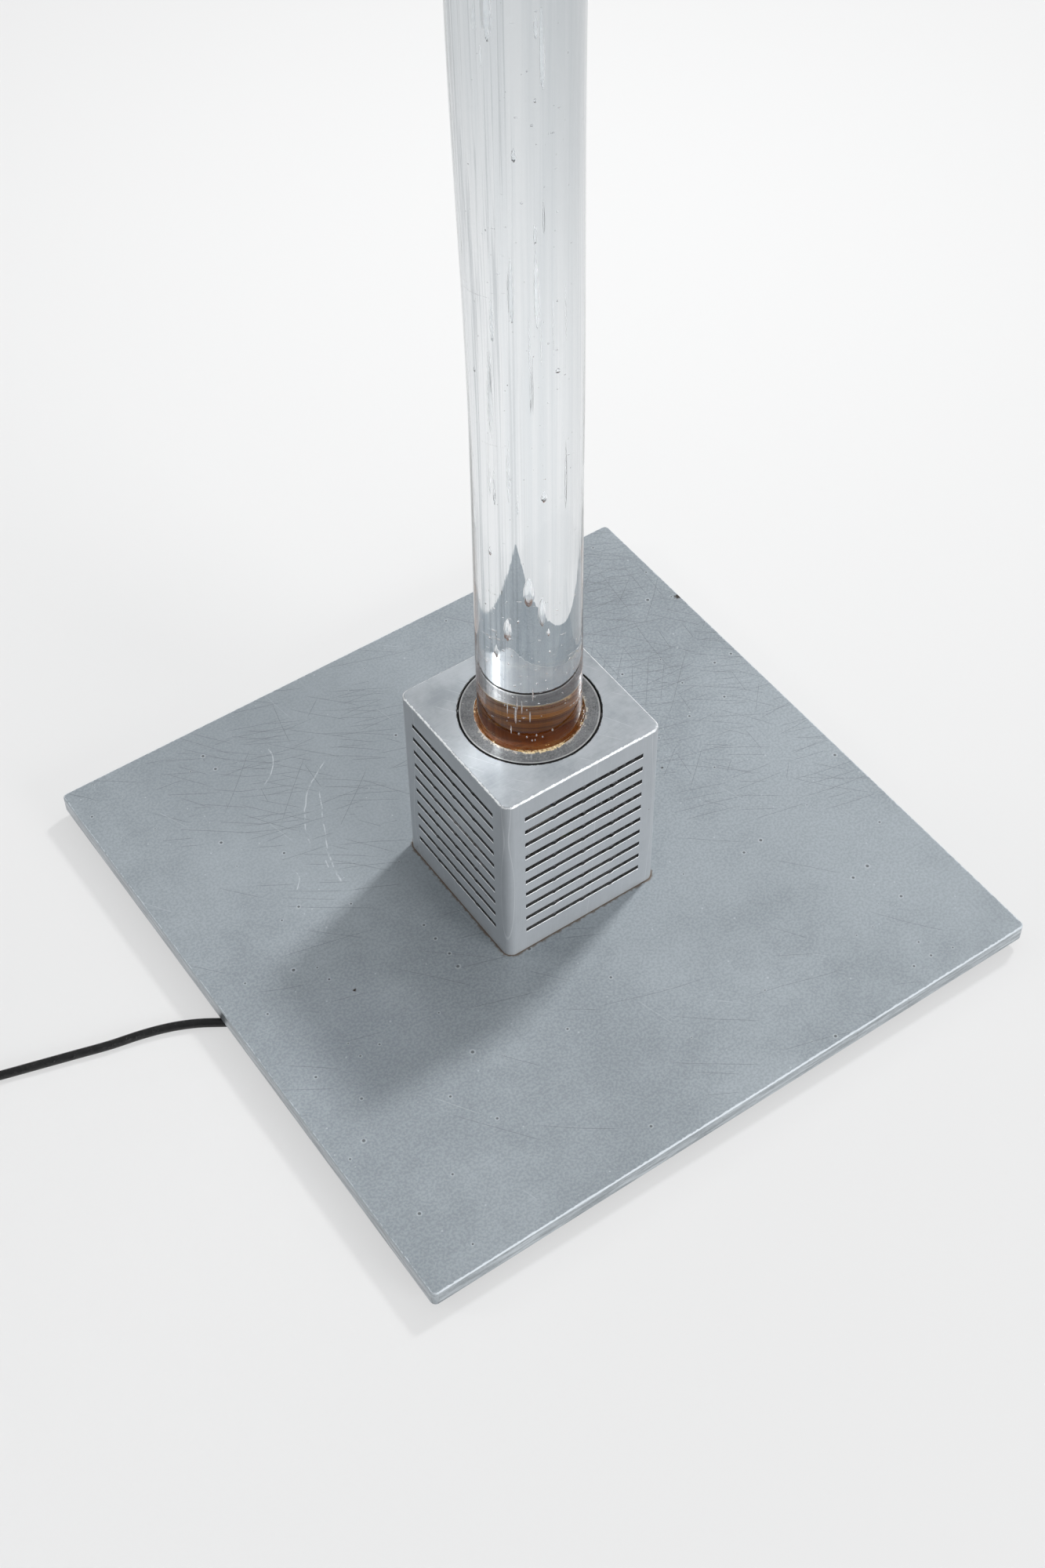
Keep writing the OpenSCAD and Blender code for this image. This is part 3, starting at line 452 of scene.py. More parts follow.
def paint_arc(bench: Bench, given: Given) -> Value:
    """Paint one long curved scratch: a broken arc round a centre.

    Args:
        bench: The effect's bench.
        given: The effect's inputs.

    Returns:
        1 on the scratch and 0 off it.
    """
    x, y, _ = (bench.here() - given["Centre"]).split()
    wobble = (bench.noise(40.0) - 0.5) * 0.006
    off_line = abs(bench.combine(x, y).math("LENGTH") + wobble - given["Radius"])
    off_middle = abs(y.math("ARCTAN2", x) - given["Middle angle"])
    broken = bench.noise(130.0, 3.0, 0.7).spread(0.42, 0.58)
    return off_line.within(given["Width"], 0.4) * off_middle.within(given["Half angle"], 0.85) * broken


MOTTLE = Effect(
    "mottle", "Value", {"Scale": 10.0, "Fine share": 0.3, "Stretch": (1.0, 1.0, 1.0)}, paint_mottle
)
SCRATCHES = Effect(
    "scratches",
    "Mask",
    {"Angle": 0.0, "Along": 9.0, "Across": 90.0, "Thickness": 0.0003, "Share": 0.5},
    paint_scratches,
)
SPOT_INPUTS = {"Scale": 60.0, "Size": 0.05, "Share": 0.3}
SPECKS = Effect("specks", "Mask", SPOT_INPUTS, partial(paint_spots, dimensions="3D"))
PITS = Effect("pits", "Mask", SPOT_INPUTS, partial(paint_spots, dimensions="2D"))
BOX_DEPTH = Effect("block_depth", "Depth", {"Half width": 0.063, "Corner": 0.008}, paint_box_depth)
EDGE_WEAR = Effect(
    "edge_wear",
    "Mask",
    {"Half width": 0.063, "Corner": 0.008, "Top": 0.183, "Width": 0.0015},
    paint_edge_wear,
)
TURNED = Effect("turned_lines", "Value", {"Radial": 2000.0, "Axial": 2000.0}, paint_turned)
BRUSHED = Effect("brushed_lines", "Value", {"Stretch": (1500.0, 1500.0, 20.0)}, paint_brushed)
DUST = Effect("dust", "Mask", {"Scale": 60.0, "Amount": 0.5}, paint_dust)
ARC = Effect(
    "curved_scratch",
    "Mask",
    {"Centre": (0.0, 0.0, 0.0), "Radius": 0.1, "Width": 0.0006, "Middle angle": 0.0, "Half angle": 0.5},
    paint_arc,
)


# Finishes


@dataclass(frozen=True)
class Finish:
    """What every finish has: a name and a way to build its material."""

    name: str

    def material(self) -> bpy.types.Material:
        """Build the finish's material when it is first asked for.

        Returns:
            The material.
        """
        found = bpy.data.materials.get(self.name)
        if found is not None:
            return found
        surface = Surface(self.name)
        self.paint(surface)
        return surface.material

    def paint(self, surface: Surface) -> None:
        """Feed the surface's shader; each finish does it in its own way."""
        raise NotImplementedError


@dataclass(frozen=True)
class Block(Finish):
    """The finish of an upright square block, which has round corners and a worn top edge."""

    half_width: float = 0.0
    corner: float = 0.0
    top: float = 0.0
    rim: float = 0.0011

    def depth(self, surface: Surface) -> Value:
        """How deep a place lies inside the block's outline."""
        return surface.effect(BOX_DEPTH, Half_width=self.half_width, Corner=self.corner)

    def worn(self, surface: Surface) -> Value:
        """The bare metal along the top edges."""
        sizes = {"Half_width": self.half_width, "Corner": self.corner, "Top": self.top, "Width": self.rim}
        return surface.effect(EDGE_WEAR, **sizes)


@dataclass(frozen=True)
class PlateSteel(Block):
    """Grey rolled steel with a mottled grain, hairline scratches, scuffs, pits and a worn rim, with a pool
    of light painted on the back left of the top and a sheen painted on the side faces.
    """

    half_width: float = PLATE_TOP.x
    corner: float = 0.004
    top: float = PLATE_TOP.z
    light: Colour = (0.4, 0.441, 0.472)
    dark: Colour = (0.265, 0.297, 0.322)
    scratch: Colour = (0.1, 0.108, 0.115)
    chalk: Colour = (0.62, 0.66, 0.69)
    dirt: Colour = (0.15, 0.105, 0.07)
    knock: Colour = (0.045, 0.036, 0.03)
    bright: Colour = (0.68, 0.73, 0.77)
    foot_half_width: float = HOUSING_TOP.x
    foot_corner: float = 0.007
    # painted light: middle of a lighter patch on the back left of the top
    painted_light_spot: Point = (-0.08, 0.17, PLATE_TOP.z)
    worn_left: Point = (-0.095, 0.175, PLATE_TOP.z)
    worn_right: Point = (0.19, 0.12, PLATE_TOP.z)
    hair_width: float = 0.00026
    hairs: tuple[tuple[float, float, float, float], ...] = (
        (0.3, 10.0, 120.0, 0.07),
        (0.5, 14.0, 150.0, 0.04),
        (0.68, 11.0, 130.0, 0.05),
        (0.9, 13.0, 110.0, 0.08),
        (1.7, 16.0, 100.0, -0.25),
        (2.4, 12.0, 90.0, -0.2),
        (0.1, 18.0, 95.0, -0.1),
    )
    arcs: tuple[tuple[Point, float, float, float, float], ...] = (
        ((-0.1318, 0.2010, 0.0), 0.0305, 0.0006, -0.74, 0.82),
        ((-0.0352, 0.0834, 0.0), 0.0903, 0.0007, 2.455, 0.47),
        ((0.5276, -0.1914, 0.0), 0.7032, 0.0006, 2.69, 0.046),
        ((-0.0213, 0.0597, 0.0), 0.1006, 0.0010, 2.96, 0.17),
        ((-0.0702, 0.0718, 0.0), 0.0544, 0.0006, 2.95, 0.19),
        ((-0.1600, 0.0855, 0.0), 0.0137, 0.0005, -0.55, 0.95),
    )
    dents: tuple[tuple[Point, float], ...] = (
        ((-0.1657, -0.0242, 0.022), 0.0014),
        ((0.1294, 0.0144, 0.022), 0.0011),
        ((0.2480, 0.1502, 0.021), 0.0034),
    )

    def paint(self, surface: Surface) -> None:
        """Feed the shader with the plate's surface.

        Args:
            surface: The material's bench.
        """
        cloud = surface.effect(MOTTLE, Scale=7.0, Fine_share=0.25)
        grain = surface.effect(MOTTLE, Scale=540.0, Fine_share=0.25)
        tone = surface.blend(0.5, cloud.spread(0.36, 0.64), grain.spread(0.4, 0.6))
        hairs = self.hairlines(surface)
        halos = surface.effect(PITS, Scale=62.0, Size=0.14, Share=0.14)
        pits = surface.effect(PITS, Scale=62.0, Size=0.075, Share=0.14)
        flecks = surface.effect(PITS, Scale=150.0, Size=0.11, Share=0.04)
        worn = self.worn(surface)
        side = abs(surface.up()).spread(0.2, 0.6, 1.0, 0.0)
        # pattern of the sheen painted on the side faces
        side_sheen = surface.effect(MOTTLE, Scale=1.0, Fine_share=0.35, Stretch=(38.0, 38.0, 420.0))
        colour = surface.stained(
            surface.mix(tone, self.dark, self.light),
            # painted pool of light on the back left of the top
            (surface.away(self.painted_light_spot).spread(0.05, 0.21, 0.4, 0.0), self.light),
            (hairs * 0.62, self.scratch),
            (self.chalk_marks(surface) * 0.75, self.chalk),
            (halos * 0.4, self.chalk),
            (pits * 0.85, self.scratch),
            (flecks * 0.5, self.chalk),
            (self.knocks(surface), self.knock),
            (self.foot_dirt(surface), self.dirt),
            (worn * 0.7, self.bright),
            # painted sheen: bright stripes over the plate's side faces
            (side * (side_sheen.spread(0.38, 0.66) * 0.8), self.bright),
        )
        rough = surface.blend(side, grain.spread(0.2, 0.8, 0.55, 0.72), 0.3)
        surface.set(
            Base_Color=colour,
            Metallic=surface.blend(side, 0.15, 0.75),
            Specular_IOR_Level=0.35,
            Roughness=surface.blend(worn, rough, 0.5),
        )
        surface.bump(grain - hairs.max(pits) * 0.8, 0.00006)

    def hairlines(self, surface: Surface) -> Value:
        """Draw dark hairline scratches in several directions, denser in two worn regions.

        Args:
            surface: The material's bench.

        Returns:
            1 on a scratch and 0 off it.
        """
        left = surface.away(self.worn_left).spread(0.03, 0.14, 0.5, 0.0)
        off_right = (surface.here() - self.worn_right) * (1.0, 0.5, 1.0)
        worn = left.max(off_right.math("LENGTH").spread(0.03, 0.13, 0.6, 0.0))
        sizes = {"Thickness": self.hair_width}
        return merged(
            surface.effect(SCRATCHES, Angle=angle, Along=along, Across=across, Share=worn + spared, **sizes)
            for angle, along, across, spared in self.hairs
        )

    def chalk_marks(self, surface: Surface) -> Value:
        """Draw the few light scratches: long curved ones on the left half, short ones all over.

        Args:
            surface: The material's bench.

        Returns:
            1 on a long scratch, 0.5 on a short one and 0 elsewhere.
        """
        short = surface.effect(SCRATCHES, Angle=1.15, Along=26.0, Across=30.0, Thickness=0.0004, Share=0.1)
        names = ("Centre", "Radius", "Width", "Middle_angle", "Half_angle")
        return merged([short * 0.5, *(surface.effect(ARC, **dict(zip(names, arc))) for arc in self.arcs)])

    def knocks(self, surface: Surface) -> Value:
        """The three dark knocks that stand out: two in the top and one at the back edge."""
        ragged = surface.noise(700.0, 2.0, 0.6).spread(0.3, 0.7, 0.5, 1.3)
        return merged(surface.away(place).within(ragged * size) for place, size in self.dents)

    def foot_dirt(self, surface: Surface) -> Value:
        """Lay brown dirt in the joint round the housing's foot.

        Args:
            surface: The material's bench.

        Returns:
            0.9 in the dirt and 0 on clean steel.
        """
        depth = surface.effect(BOX_DEPTH, Half_width=self.foot_half_width, Corner=self.foot_corner)
        ragged = surface.noise(260.0, 3.0, 0.7).spread(0.35, 0.7, 0.0012, 0.004)
        return (depth * -1.0).spread(0.0004, ragged, 1.0, 0.0) * 0.9


@dataclass(frozen=True)
class HousingAluminium(Block):
    """Satin aluminium, brushed upright on the walls, with bright broken edges; painted shade with some dust
    in the slots, a painted highlight on each slot's lower lip, painted shade in the hole round the collar,
    and the top darkened by handling smudges and painted shade.
    """

    half_width: float = HOUSING_TOP.x
    corner: float = 0.007
    top: float = HOUSING_TOP.z
    light: Colour = (0.525, 0.55, 0.577)
    dark: Colour = (0.44, 0.465, 0.489)
    bright: Colour = (0.9, 0.915, 0.93)
    # painted shade with some dust: the near-black colour laid in the slots, under their upper edges and in a
    # strip over each
    dust: Colour = (0.02, 0.0165, 0.0135)
    # colour that darkens the top: handling smudges and painted shade
    smudge_and_top_shade: Colour = (0.645, 0.667, 0.68)
    mark: Colour = (0.17, 0.17, 0.17)
    # painted shade: black for the gap round the collar
    black: Colour = (0.012, 0.012, 0.012)
    ceiling: float = HOUSING_TOP.z - 0.0028
    hole: float = COLLAR_TOP.x + 0.0006
    skin: float = 0.0002
    first_slot: float = 0.1637
    last_slot: float = 0.0431
    pitch: float = 0.0134
    slot_half_height: float = 0.00175
    slot_half_length: float = 0.0482
    # heights, from a slot's middle, of the strip of painted shade over each slot
    shaded_strip: Range = (-0.0001, 0.0007)
    # heights, from a slot's middle, of the strip of painted highlight below each slot
    highlight_strip: Range = (-0.0006, -0.00002)

    def paint(self, surface: Surface) -> None:
        """Feed the shader with the housing's surface.

        Args:
            surface: The material's bench.
        """
        on_top = surface.height().above(self.top - 0.0002)
        upright = surface.effect(BRUSHED, Stretch=(2600.0, 2600.0, 26.0))
        across = surface.effect(BRUSHED, Stretch=(60.0, 1900.0, 1.0))
        brushed = surface.blend(on_top, upright, across)
        cloud = surface.effect(MOTTLE, Scale=26.0, Fine_share=0.3)
        tone = surface.blend(0.45, cloud.spread(0.3, 0.7), brushed.spread(0.3, 0.7))
        clean = surface.mix(tone, self.dark, self.light)
        handled = surface.noise(38.0, 4.0, 0.7).spread(0.3, 0.6, 1.0, 0.45)
        pits = surface.effect(SPECKS, Scale=110.0, Size=0.08, Share=0.22)
        scuffs = surface.effect(SCRATCHES, Angle=1.0, Along=30.0, Across=120.0, Thickness=0.0002, Share=0.5)
        worn = self.worn(surface)
        slot_shade_and_dust = self.slot_shade_and_dust(surface)
        lip = self.lip(surface)
        colour = surface.stained(
            clean,
            # the top darkened in patches: handling smudges and painted shade
            (on_top * handled, surface.mix(1.0, clean, self.smudge_and_top_shade, "MULTIPLY")),
            (pits * 0.8, self.mark),
            (scuffs * 0.35, self.bright),
            (worn * 0.9, self.bright),
            # painted shade with some dust, in and over the slots
            (slot_shade_and_dust, self.dust),
            # painted shade: black in the gap round the collar
            (self.gap(surface), self.black),
            # painted highlight on the polished lower lip of each slot
            (lip, self.bright),
        )
        rough = surface.blend(worn, brushed.spread(0.2, 0.8, 0.3, 0.42), 0.3)
        film = surface.blend(on_top, 0.2, handled.spread(0.45, 1.0, 0.32, 0.14))
        surface.set(
            Base_Color=colour,
            Metallic=surface.blend(lip, 0.22 - slot_shade_and_dust * 0.22, 1.0),
            Roughness=surface.blend(lip, surface.blend(slot_shade_and_dust, rough, 0.85), 0.42),
            Coat_Weight=film * (1.0 - slot_shade_and_dust),
            Coat_Roughness=0.11,
        )
        surface.bump(brushed, 0.000025)

    def slot_shade_and_dust(self, surface: Surface) -> Value:
        """Find the painted shade, with some dust: all that is behind the outer skin, what faces down among
        the slots, and a strip over each slot.

        Args:
            surface: The material's bench.

        Returns:
            1 in full painted shade and 0 on clean metal.
        """
        low_down = surface.height().below(self.ceiling)
        # everything behind the outer skin takes painted shade
        inside = self.depth(surface).spread(self.skin * 0.8, self.skin * 1.3) * low_down
        # patches in which the painted shade is a little lighter
        dusty = surface.noise(300.0, 3.0, 0.7).spread(0.3, 0.75, 0.72, 1.0)
        rows = surface.height().above(self.last_slot - self.pitch / 2)
        # down-facing faces among the slots take painted shade
        under = surface.up().spread(-0.35, -0.12, 1.0, 0.0) * rows
        low, high = (self.slot_half_height + edge for edge in self.shaded_strip)
        return (inside * dusty).max(under).max(self.beside(surface, low, high) * 0.9)

    def beside(self, surface: Surface, low: float, high: float) -> Value:
        """Find the strips of wall along the slots between two heights.

        Args:
            surface: The material's bench.
            low: The lower height, measured from a slot's middle.
            high: The upper height.

        Returns:
            1 on the strips and 0 elsewhere.
        """
        x, y, z = surface.here().split()
        height = (z - (self.last_slot - self.pitch / 2)) % self.pitch
        off = abs(height - (self.pitch / 2 + (low + high) / 2))
        along = abs(x).min(abs(y))
        middle = (self.first_slot + self.last_slot) / 2
        rows = abs(z - middle).below(self.first_slot + self.pitch / 2 - middle)
        return off.below((high - low) / 2) * along.below(self.slot_half_length) * rows

    def lip(self, surface: Surface) -> Value:
        """Find the lower lip of each slot and a strip of wall below it, where a highlight is painted on
        polished metal.

        Args:
            surface: The material's bench.

        Returns:
            1 on the lip and 0 elsewhere.
        """
        outer = self.depth(surface).spread(self.skin * 0.8, self.skin * 1.2, 1.0, 0.0)
        low, high = (edge - self.slot_half_height for edge in self.highlight_strip)
        # up-facing faces near the skin and the strip below each slot take the painted highlight
        polished = surface.up().spread(0.12, 0.4).max(self.beside(surface, low, high) * 0.85)
        return outer * polished * surface.height().below(self.ceiling)

    def gap(self, surface: Surface) -> Value:
        """Find the wall of the hole round the collar and the rim of the top beside it, where shade is
        painted black.

        Args:
            surface: The material's bench.

        Returns:
            1 on the wall and the rim beside it, and 0 elsewhere.
        """
        ragged = surface.noise(500.0, 2.0, 0.6).spread(0.3, 0.7, 0.0004, 0.0008)
        high_up = surface.height().above(self.ceiling - 0.0005)
        return high_up * (surface.radius() - self.hole).below(ragged)


@dataclass(frozen=True)
class CollarSteel(Finish):
    """Dark turned steel, mottled by age, pale and flaked where it meets the resin, with a painted highlight
    and painted glints on its top, and painted shade on its outer wall and rim.
    """

    light: Colour = (0.235, 0.24, 0.245)
    dark: Colour = (0.075, 0.076, 0.078)
    bright: Colour = (0.55, 0.55, 0.54)
    flake: Colour = (0.5, 0.45, 0.38)
    gold: Colour = (0.8, 0.62, 0.34)
    # painted shade: black for the collar's outer wall and outer rim, in the gap to the housing
    black: Colour = (0.012, 0.012, 0.012)
    outer: float = COLLAR_TOP.x
    top: float = COLLAR_TOP.z
    bore: float = 0.0375
    chipped: Point = (-0.0135, -0.0355, 0.183)

    def paint(self, surface: Surface) -> None:
        """Feed the shader with the collar's surface.

        Args:
            surface: The material's bench.
        """
        _, y, z = surface.here().split()
        radius = surface.radius()
        lines = surface.effect(TURNED, Radial=5200.0, Axial=1500.0)
        cloud = surface.effect(MOTTLE, Scale=120.0, Fine_share=0.5)
        grit = surface.effect(MOTTLE, Scale=900.0, Fine_share=0.3)
        tone = surface.blend(0.6, lines.spread(0.3, 0.7), cloud.spread(0.3, 0.7))
        tone = surface.blend(0.4, tone, grit.spread(0.38, 0.62))
        ragged = surface.noise(330.0, 4.0, 0.75)
        off_bore = radius - self.bore
        flaked = ragged.spread(0.4, 0.7) * y.spread(0.0, 0.02, 0.003, 0.0006)
        spilt = surface.away(self.chipped).spread(0.008, 0.019, 0.0017, 0.0) * ragged.spread(0.3, 0.6)
        crumbs = surface.noise(900.0, 2.0, 0.6).spread(0.35, 0.6, 0.25, 0.95)
        glints = surface.effect(SPECKS, Scale=420.0, Size=0.22, Share=0.16)
        # the collar's outer wall, down in the gap to the housing
        wall = z.below(self.top - 0.00006) * radius.above(self.outer - 0.0008)
        colour = surface.stained(
            surface.mix(tone, self.dark, self.light),
            # painted highlight: a bright band round the outer edge of the collar's top
            (radius.spread(self.outer - 0.0019, self.outer - 0.0011) * 0.55, self.bright),
            (off_bore.below(flaked) * 0.75, self.flake),
            (off_bore.below(spilt) * crumbs, self.gold),
            (glints * 0.5, self.bright),
            # painted shade: black on the outer wall and outer rim
            (wall.max(radius.above(self.outer - 0.0006)), self.black),
        )
        rough = surface.blend(0.3, cloud, ragged).spread(0.3, 0.7, 0.26, 0.46)
        surface.set(Base_Color=colour, Metallic=0.6, Roughness=rough)
        surface.bump(surface.blend(0.4, lines, ragged), 0.00005)


@dataclass(frozen=True)
class PlatedSteel(Finish):
    """Zinc or nickel plated steel with a faint crystalline mottle."""

    light: Colour
    dark: Colour
    smooth: float = 0.28
    dull: float = 0.44

    def paint(self, surface: Surface) -> None:
        """Feed the shader with the plated surface.

        Args:
            surface: The material's bench.
        """
        cloud = surface.effect(MOTTLE, Scale=160.0, Fine_share=0.4)
        scuffs = surface.effect(SCRATCHES, Angle=0.6, Along=80.0, Across=400.0, Thickness=0.00015, Share=0.6)
        plain = surface.mix(cloud.spread(0.3, 0.7), self.dark, self.light)
        surface.set(
            Base_Color=surface.mix(scuffs * 0.3, plain, self.dark),
            Metallic=1.0,
            Roughness=cloud.spread(0.3, 0.7, self.smooth, self.dull),
        )
        surface.bump(cloud, 0.00003)


@dataclass(frozen=True)
class AmberBond(Finish):
    """The glued foot of the rod as it shows through the rod: turned steel behind brown resin."""

    glow: Colour = (0.17, 0.04, 0.001)
    brown: Colour = (0.26, 0.088, 0.006)
    deep: Colour = (0.05, 0.0125, 0.0015)
    grey: Colour = (0.2, 0.17, 0.14)
    streak: Colour = (0.62, 0.34, 0.07)
    gold: Colour = (0.85, 0.56, 0.2)
    foot: float = 0.16
    top: float = 0.181

    def paint(self, surface: Surface) -> None:
        """Feed the shader with the glued surface.

        Args:
            surface: The material's bench.
        """
        z = surface.height()
        height = z.spread(self.foot, self.top)
        lines = surface.effect(TURNED, Radial=900.0, Axial=1300.0)
        broad = surface.effect(TURNED, Radial=160.0, Axial=300.0)
        cloud = surface.effect(MOTTLE, Scale=70.0, Fine_share=0.35)
        golden = lines.spread(0.56, 0.64) * height.spread(0.3, 0.75)
        at_foot = z.spread(self.foot + 0.0002, self.foot + 0.001, 1.0, 0.0)
        colour = surface.stained(
            surface.mix(surface.blend(0.3, lines, broad).spread(0.3, 0.6), self.deep, self.brown),
            (golden * 0.6, self.streak),
            (height.spread(0.8, 1.0, 0.0, 0.4), self.grey),
            (at_foot, surface.mix(cloud.spread(0.3, 0.62), self.deep, self.glow)),
            (surface.effect(SPECKS, Scale=330.0, Size=0.2, Share=0.14), self.gold),
        )
        surface.set(Base_Color=colour, Roughness=lines.spread(0.2, 0.8, 0.35, 0.6), Specular_IOR_Level=0.08)
        surface.bump(lines, 0.00008)


@dataclass(frozen=True)
class AmberResin(Finish):
    """Glossy amber resin with pale chips and trapped flecks."""

    amber: Colour = (0.24, 0.09, 0.018)
    deep: Colour = (0.06, 0.02, 0.005)
    gold: Colour = (0.85, 0.66, 0.36)
    chipped: Point = (-0.013, -0.034, 0.181)

    def paint(self, surface: Surface) -> None:
        """Feed the shader with the resin's surface.

        Args:
            surface: The material's bench.
        """
        cloud = surface.effect(MOTTLE, Scale=95.0, Fine_share=0.4)
        common = surface.away(self.chipped).spread(0.01, 0.024, 0.2, -0.02)
        chips = (surface.noise(260.0, 3.0, 0.65) + common).spread(0.57, 0.64)
        crumbs = surface.noise(900.0, 2.0, 0.6).spread(0.35, 0.6, 0.3, 0.9)
        plain = surface.mix(cloud.spread(0.32, 0.66), self.deep, self.amber)
        surface.set(
            Base_Color=surface.mix(chips * crumbs, plain, self.gold),
            Roughness=cloud.spread(0.3, 0.7, 0.08, 0.3),
            Coat_Weight=0.6,
            Coat_Roughness=0.08,
        )
        surface.bump(surface.noise(330.0, 3.0, 0.6), 0.0004)


@dataclass(frozen=True)
class ClearRod(Finish):
    """Clear cast rod with a cool tint and faint upright cords, with shade painted along its outline, amber
    near the foot, and grey painted shade in stripes on its left side.
    """

    light: Colour = (0.94, 0.955, 0.965)
    dark: Colour = (0.79, 0.822, 0.843)
    # painted shade: the tints the rod takes along its outline, amber near the foot
    edge: Colour = (0.5, 0.53, 0.55)
    painted_amber_edge: Colour = (0.36, 0.2, 0.09)
    smoky: Colour = (0.71, 0.725, 0.735)
    # painted shade: grey for the stripes on the rod's left side
    left_streak_shade: Colour = (0.5, 0.53, 0.55)
    veined_side: Point = (-0.97, 0.24, 0.0)

    def paint(self, surface: Surface) -> None:
        """Feed the shader with the rod's surface.

        Args:
            surface: The material's bench.
        """
        z = surface.height()
        cords = surface.effect(BRUSHED, Stretch=(150.0, 150.0, 1.2)).spread(0.3, 0.66)
        left_streak_lines = surface.effect(BRUSHED, Stretch=(330.0, 330.0, 1.0)).spread(0.5, 0.64)
        veined = surface.here().math("DOT_PRODUCT", self.veined_side).spread(0.004, 0.03)
        # painted shade: grey stripes on the rod's left side
        colour = surface.mix(veined * left_streak_lines, surface.mix(cords, self.dark, self.light), self.left_streak_shade)
        colour = surface.mix(z.spread(0.42, 0.75), colour, surface.mix(1.0, colour, self.smoky, "MULTIPLY"))
        # painted shade along the outline: the tint turns darker, or amber near the foot, where the surface
        # faces away from the eye
        facing = surface.value("ShaderNodeLayerWeight", {"Blend": 0.5}, "Facing").spread(0.76, 0.95)
        rim = surface.mix(z.spread(0.2, 0.29), self.painted_amber_edge, self.edge)
        smear = surface.effect(MOTTLE, Scale=18.0, Fine_share=0.2, Stretch=(1.0, 1.0, 0.25))
        surface.set(
            Base_Color=surface.mix(facing, colour, rim),
            Transmission_Weight=1.0,
            IOR=1.5,
            Roughness=smear.spread(0.45, 0.8, 0.0, 0.03),
        )
        broad = surface.effect(BRUSHED, Stretch=(90.0, 90.0, 1.2))
        narrow = surface.effect(BRUSHED, Stretch=(420.0, 420.0, 2.2))
        surface.bump(surface.blend(veined * 0.3, broad, narrow), 0.0003, 0.7)


@dataclass(frozen=True)
class BubbleSkin(Finish):
    """The inner skin of a bubble: clear, with a faint milky haze."""

    clear: Colour = (0.97, 0.98, 0.985)
    milky: Colour = (0.86, 0.875, 0.885)
    clarity: float = 0.8

    def paint(self, surface: Surface) -> None:
        """Feed the shader with the bubble's surface.

        Args:
            surface: The material's bench.
        """
        haze = surface.effect(MOTTLE, Scale=420.0, Fine_share=0.3)
        surface.set(
            Base_Color=surface.mix(haze.spread(0.35, 0.7), self.clear, self.milky),
            Transmission_Weight=self.clarity,
            IOR=1.5,
            Roughness=haze.spread(0.4, 0.8, 0.0, 0.06),
        )


@dataclass(frozen=True)
class Rubber(Finish):
    """Matt black rubber or plastic, dusty on top."""

    base: Colour = (0.016, 0.016, 0.017)
    dust: Colour = (0.11, 0.11, 0.112)
    smooth: float = 0.42
    dull: float = 0.62
    dusty: float = 0.55
    grain: float = 900.0
    relief: float = 0.00006

    def paint(self, surface: Surface) -> None:
        """Feed the shader with the black surface.

        Args:
            surface: The material's bench.
        """
        grain = surface.effect(MOTTLE, Scale=self.grain, Fine_share=0.3)
        dust = surface.effect(DUST, Scale=90.0, Amount=self.dusty) * grain.spread(0.3, 0.75, 0.4, 1.0)
        surface.set(
            Base_Color=surface.mix(dust, self.base, self.dust),
            Roughness=grain.spread(0.3, 0.7, self.smooth, self.dull),
        )
        surface.bump(grain, self.relief)


@dataclass(frozen=True)
class Moulded(Finish):
    """Moulded plastic or glazed ceramic in one colour, with a little dirt."""

    base: Colour
    shade: Colour
    smooth: float = 0.3
    dull: float = 0.45
    relief: float = 0.00003
    coat: float = 0.0

    def paint(self, surface: Surface) -> None:
        """Feed the shader with the moulded surface.

        Args:
            surface: The material's bench.
        """
        cloud = surface.effect(MOTTLE, Scale=75.0, Fine_share=0.35)
        grain = surface.effect(MOTTLE, Scale=1300.0, Fine_share=0.5)
        specks = surface.effect(SPECKS, Scale=260.0, Size=0.12, Share=0.1)
        plain = surface.mix(cloud.spread(0.35, 0.7), self.shade, self.base)
        surface.set(
            Base_Color=surface.mix(specks * 0.5, plain, self.shade),
            Roughness=grain.spread(0.3, 0.7, self.smooth, self.dull),
            Coat_Weight=self.coat,
        )
        surface.bump(grain, self.relief)


@dataclass(frozen=True)
class StripedCore(Finish):
    """Green insulation with a yellow stripe along it."""

    green: Colour = (0.05, 0.24, 0.05)
    yellow: Colour = (0.72, 0.6, 0.05)

    def paint(self, surface: Surface) -> None:
        """Feed the shader with the striped surface.

        Args:
            surface: The material's bench.
        """
        _, y, _ = surface.here().split()
        worn = surface.effect(MOTTLE, Scale=400.0, Fine_share=0.4)
        stripe = ((y * 3600.0).math("SINE") + (worn - 0.5)).spread(-0.1, 0.1)
        surface.set(
            Base_Color=surface.mix(stripe, self.green, self.yellow),
            Roughness=worn.spread(0.3, 0.7, 0.3, 0.45),
        )


@dataclass(frozen=True)
class BulbGlass(Finish):
    """Pressed glass face over a mirrored, ribbed back."""

    mirror: Colour = (0.66, 0.65, 0.6)
    face: Colour = (0.82, 0.82, 0.78)
    ribs: float = 32.0

    def paint(self, surface: Surface) -> None:
        """Feed the shader with the bulb's surface.

        Args:
            surface: The material's bench.
        """
        x, y, _ = surface.here().split()
        rib = (y.math("ARCTAN2", x) * self.ribs).math("SINE").spread(-1.0, 1.0)
        cloud = surface.effect(MOTTLE, Scale=60.0, Fine_share=0.3)
        surface.set(
            Base_Color=surface.mix(surface.blend(0.5, rib, cloud), self.mirror, self.face),
            Metallic=0.7,
            Roughness=cloud.spread(0.3, 0.7, 0.12, 0.25),
        )
        surface.bump(rib, 0.0006)


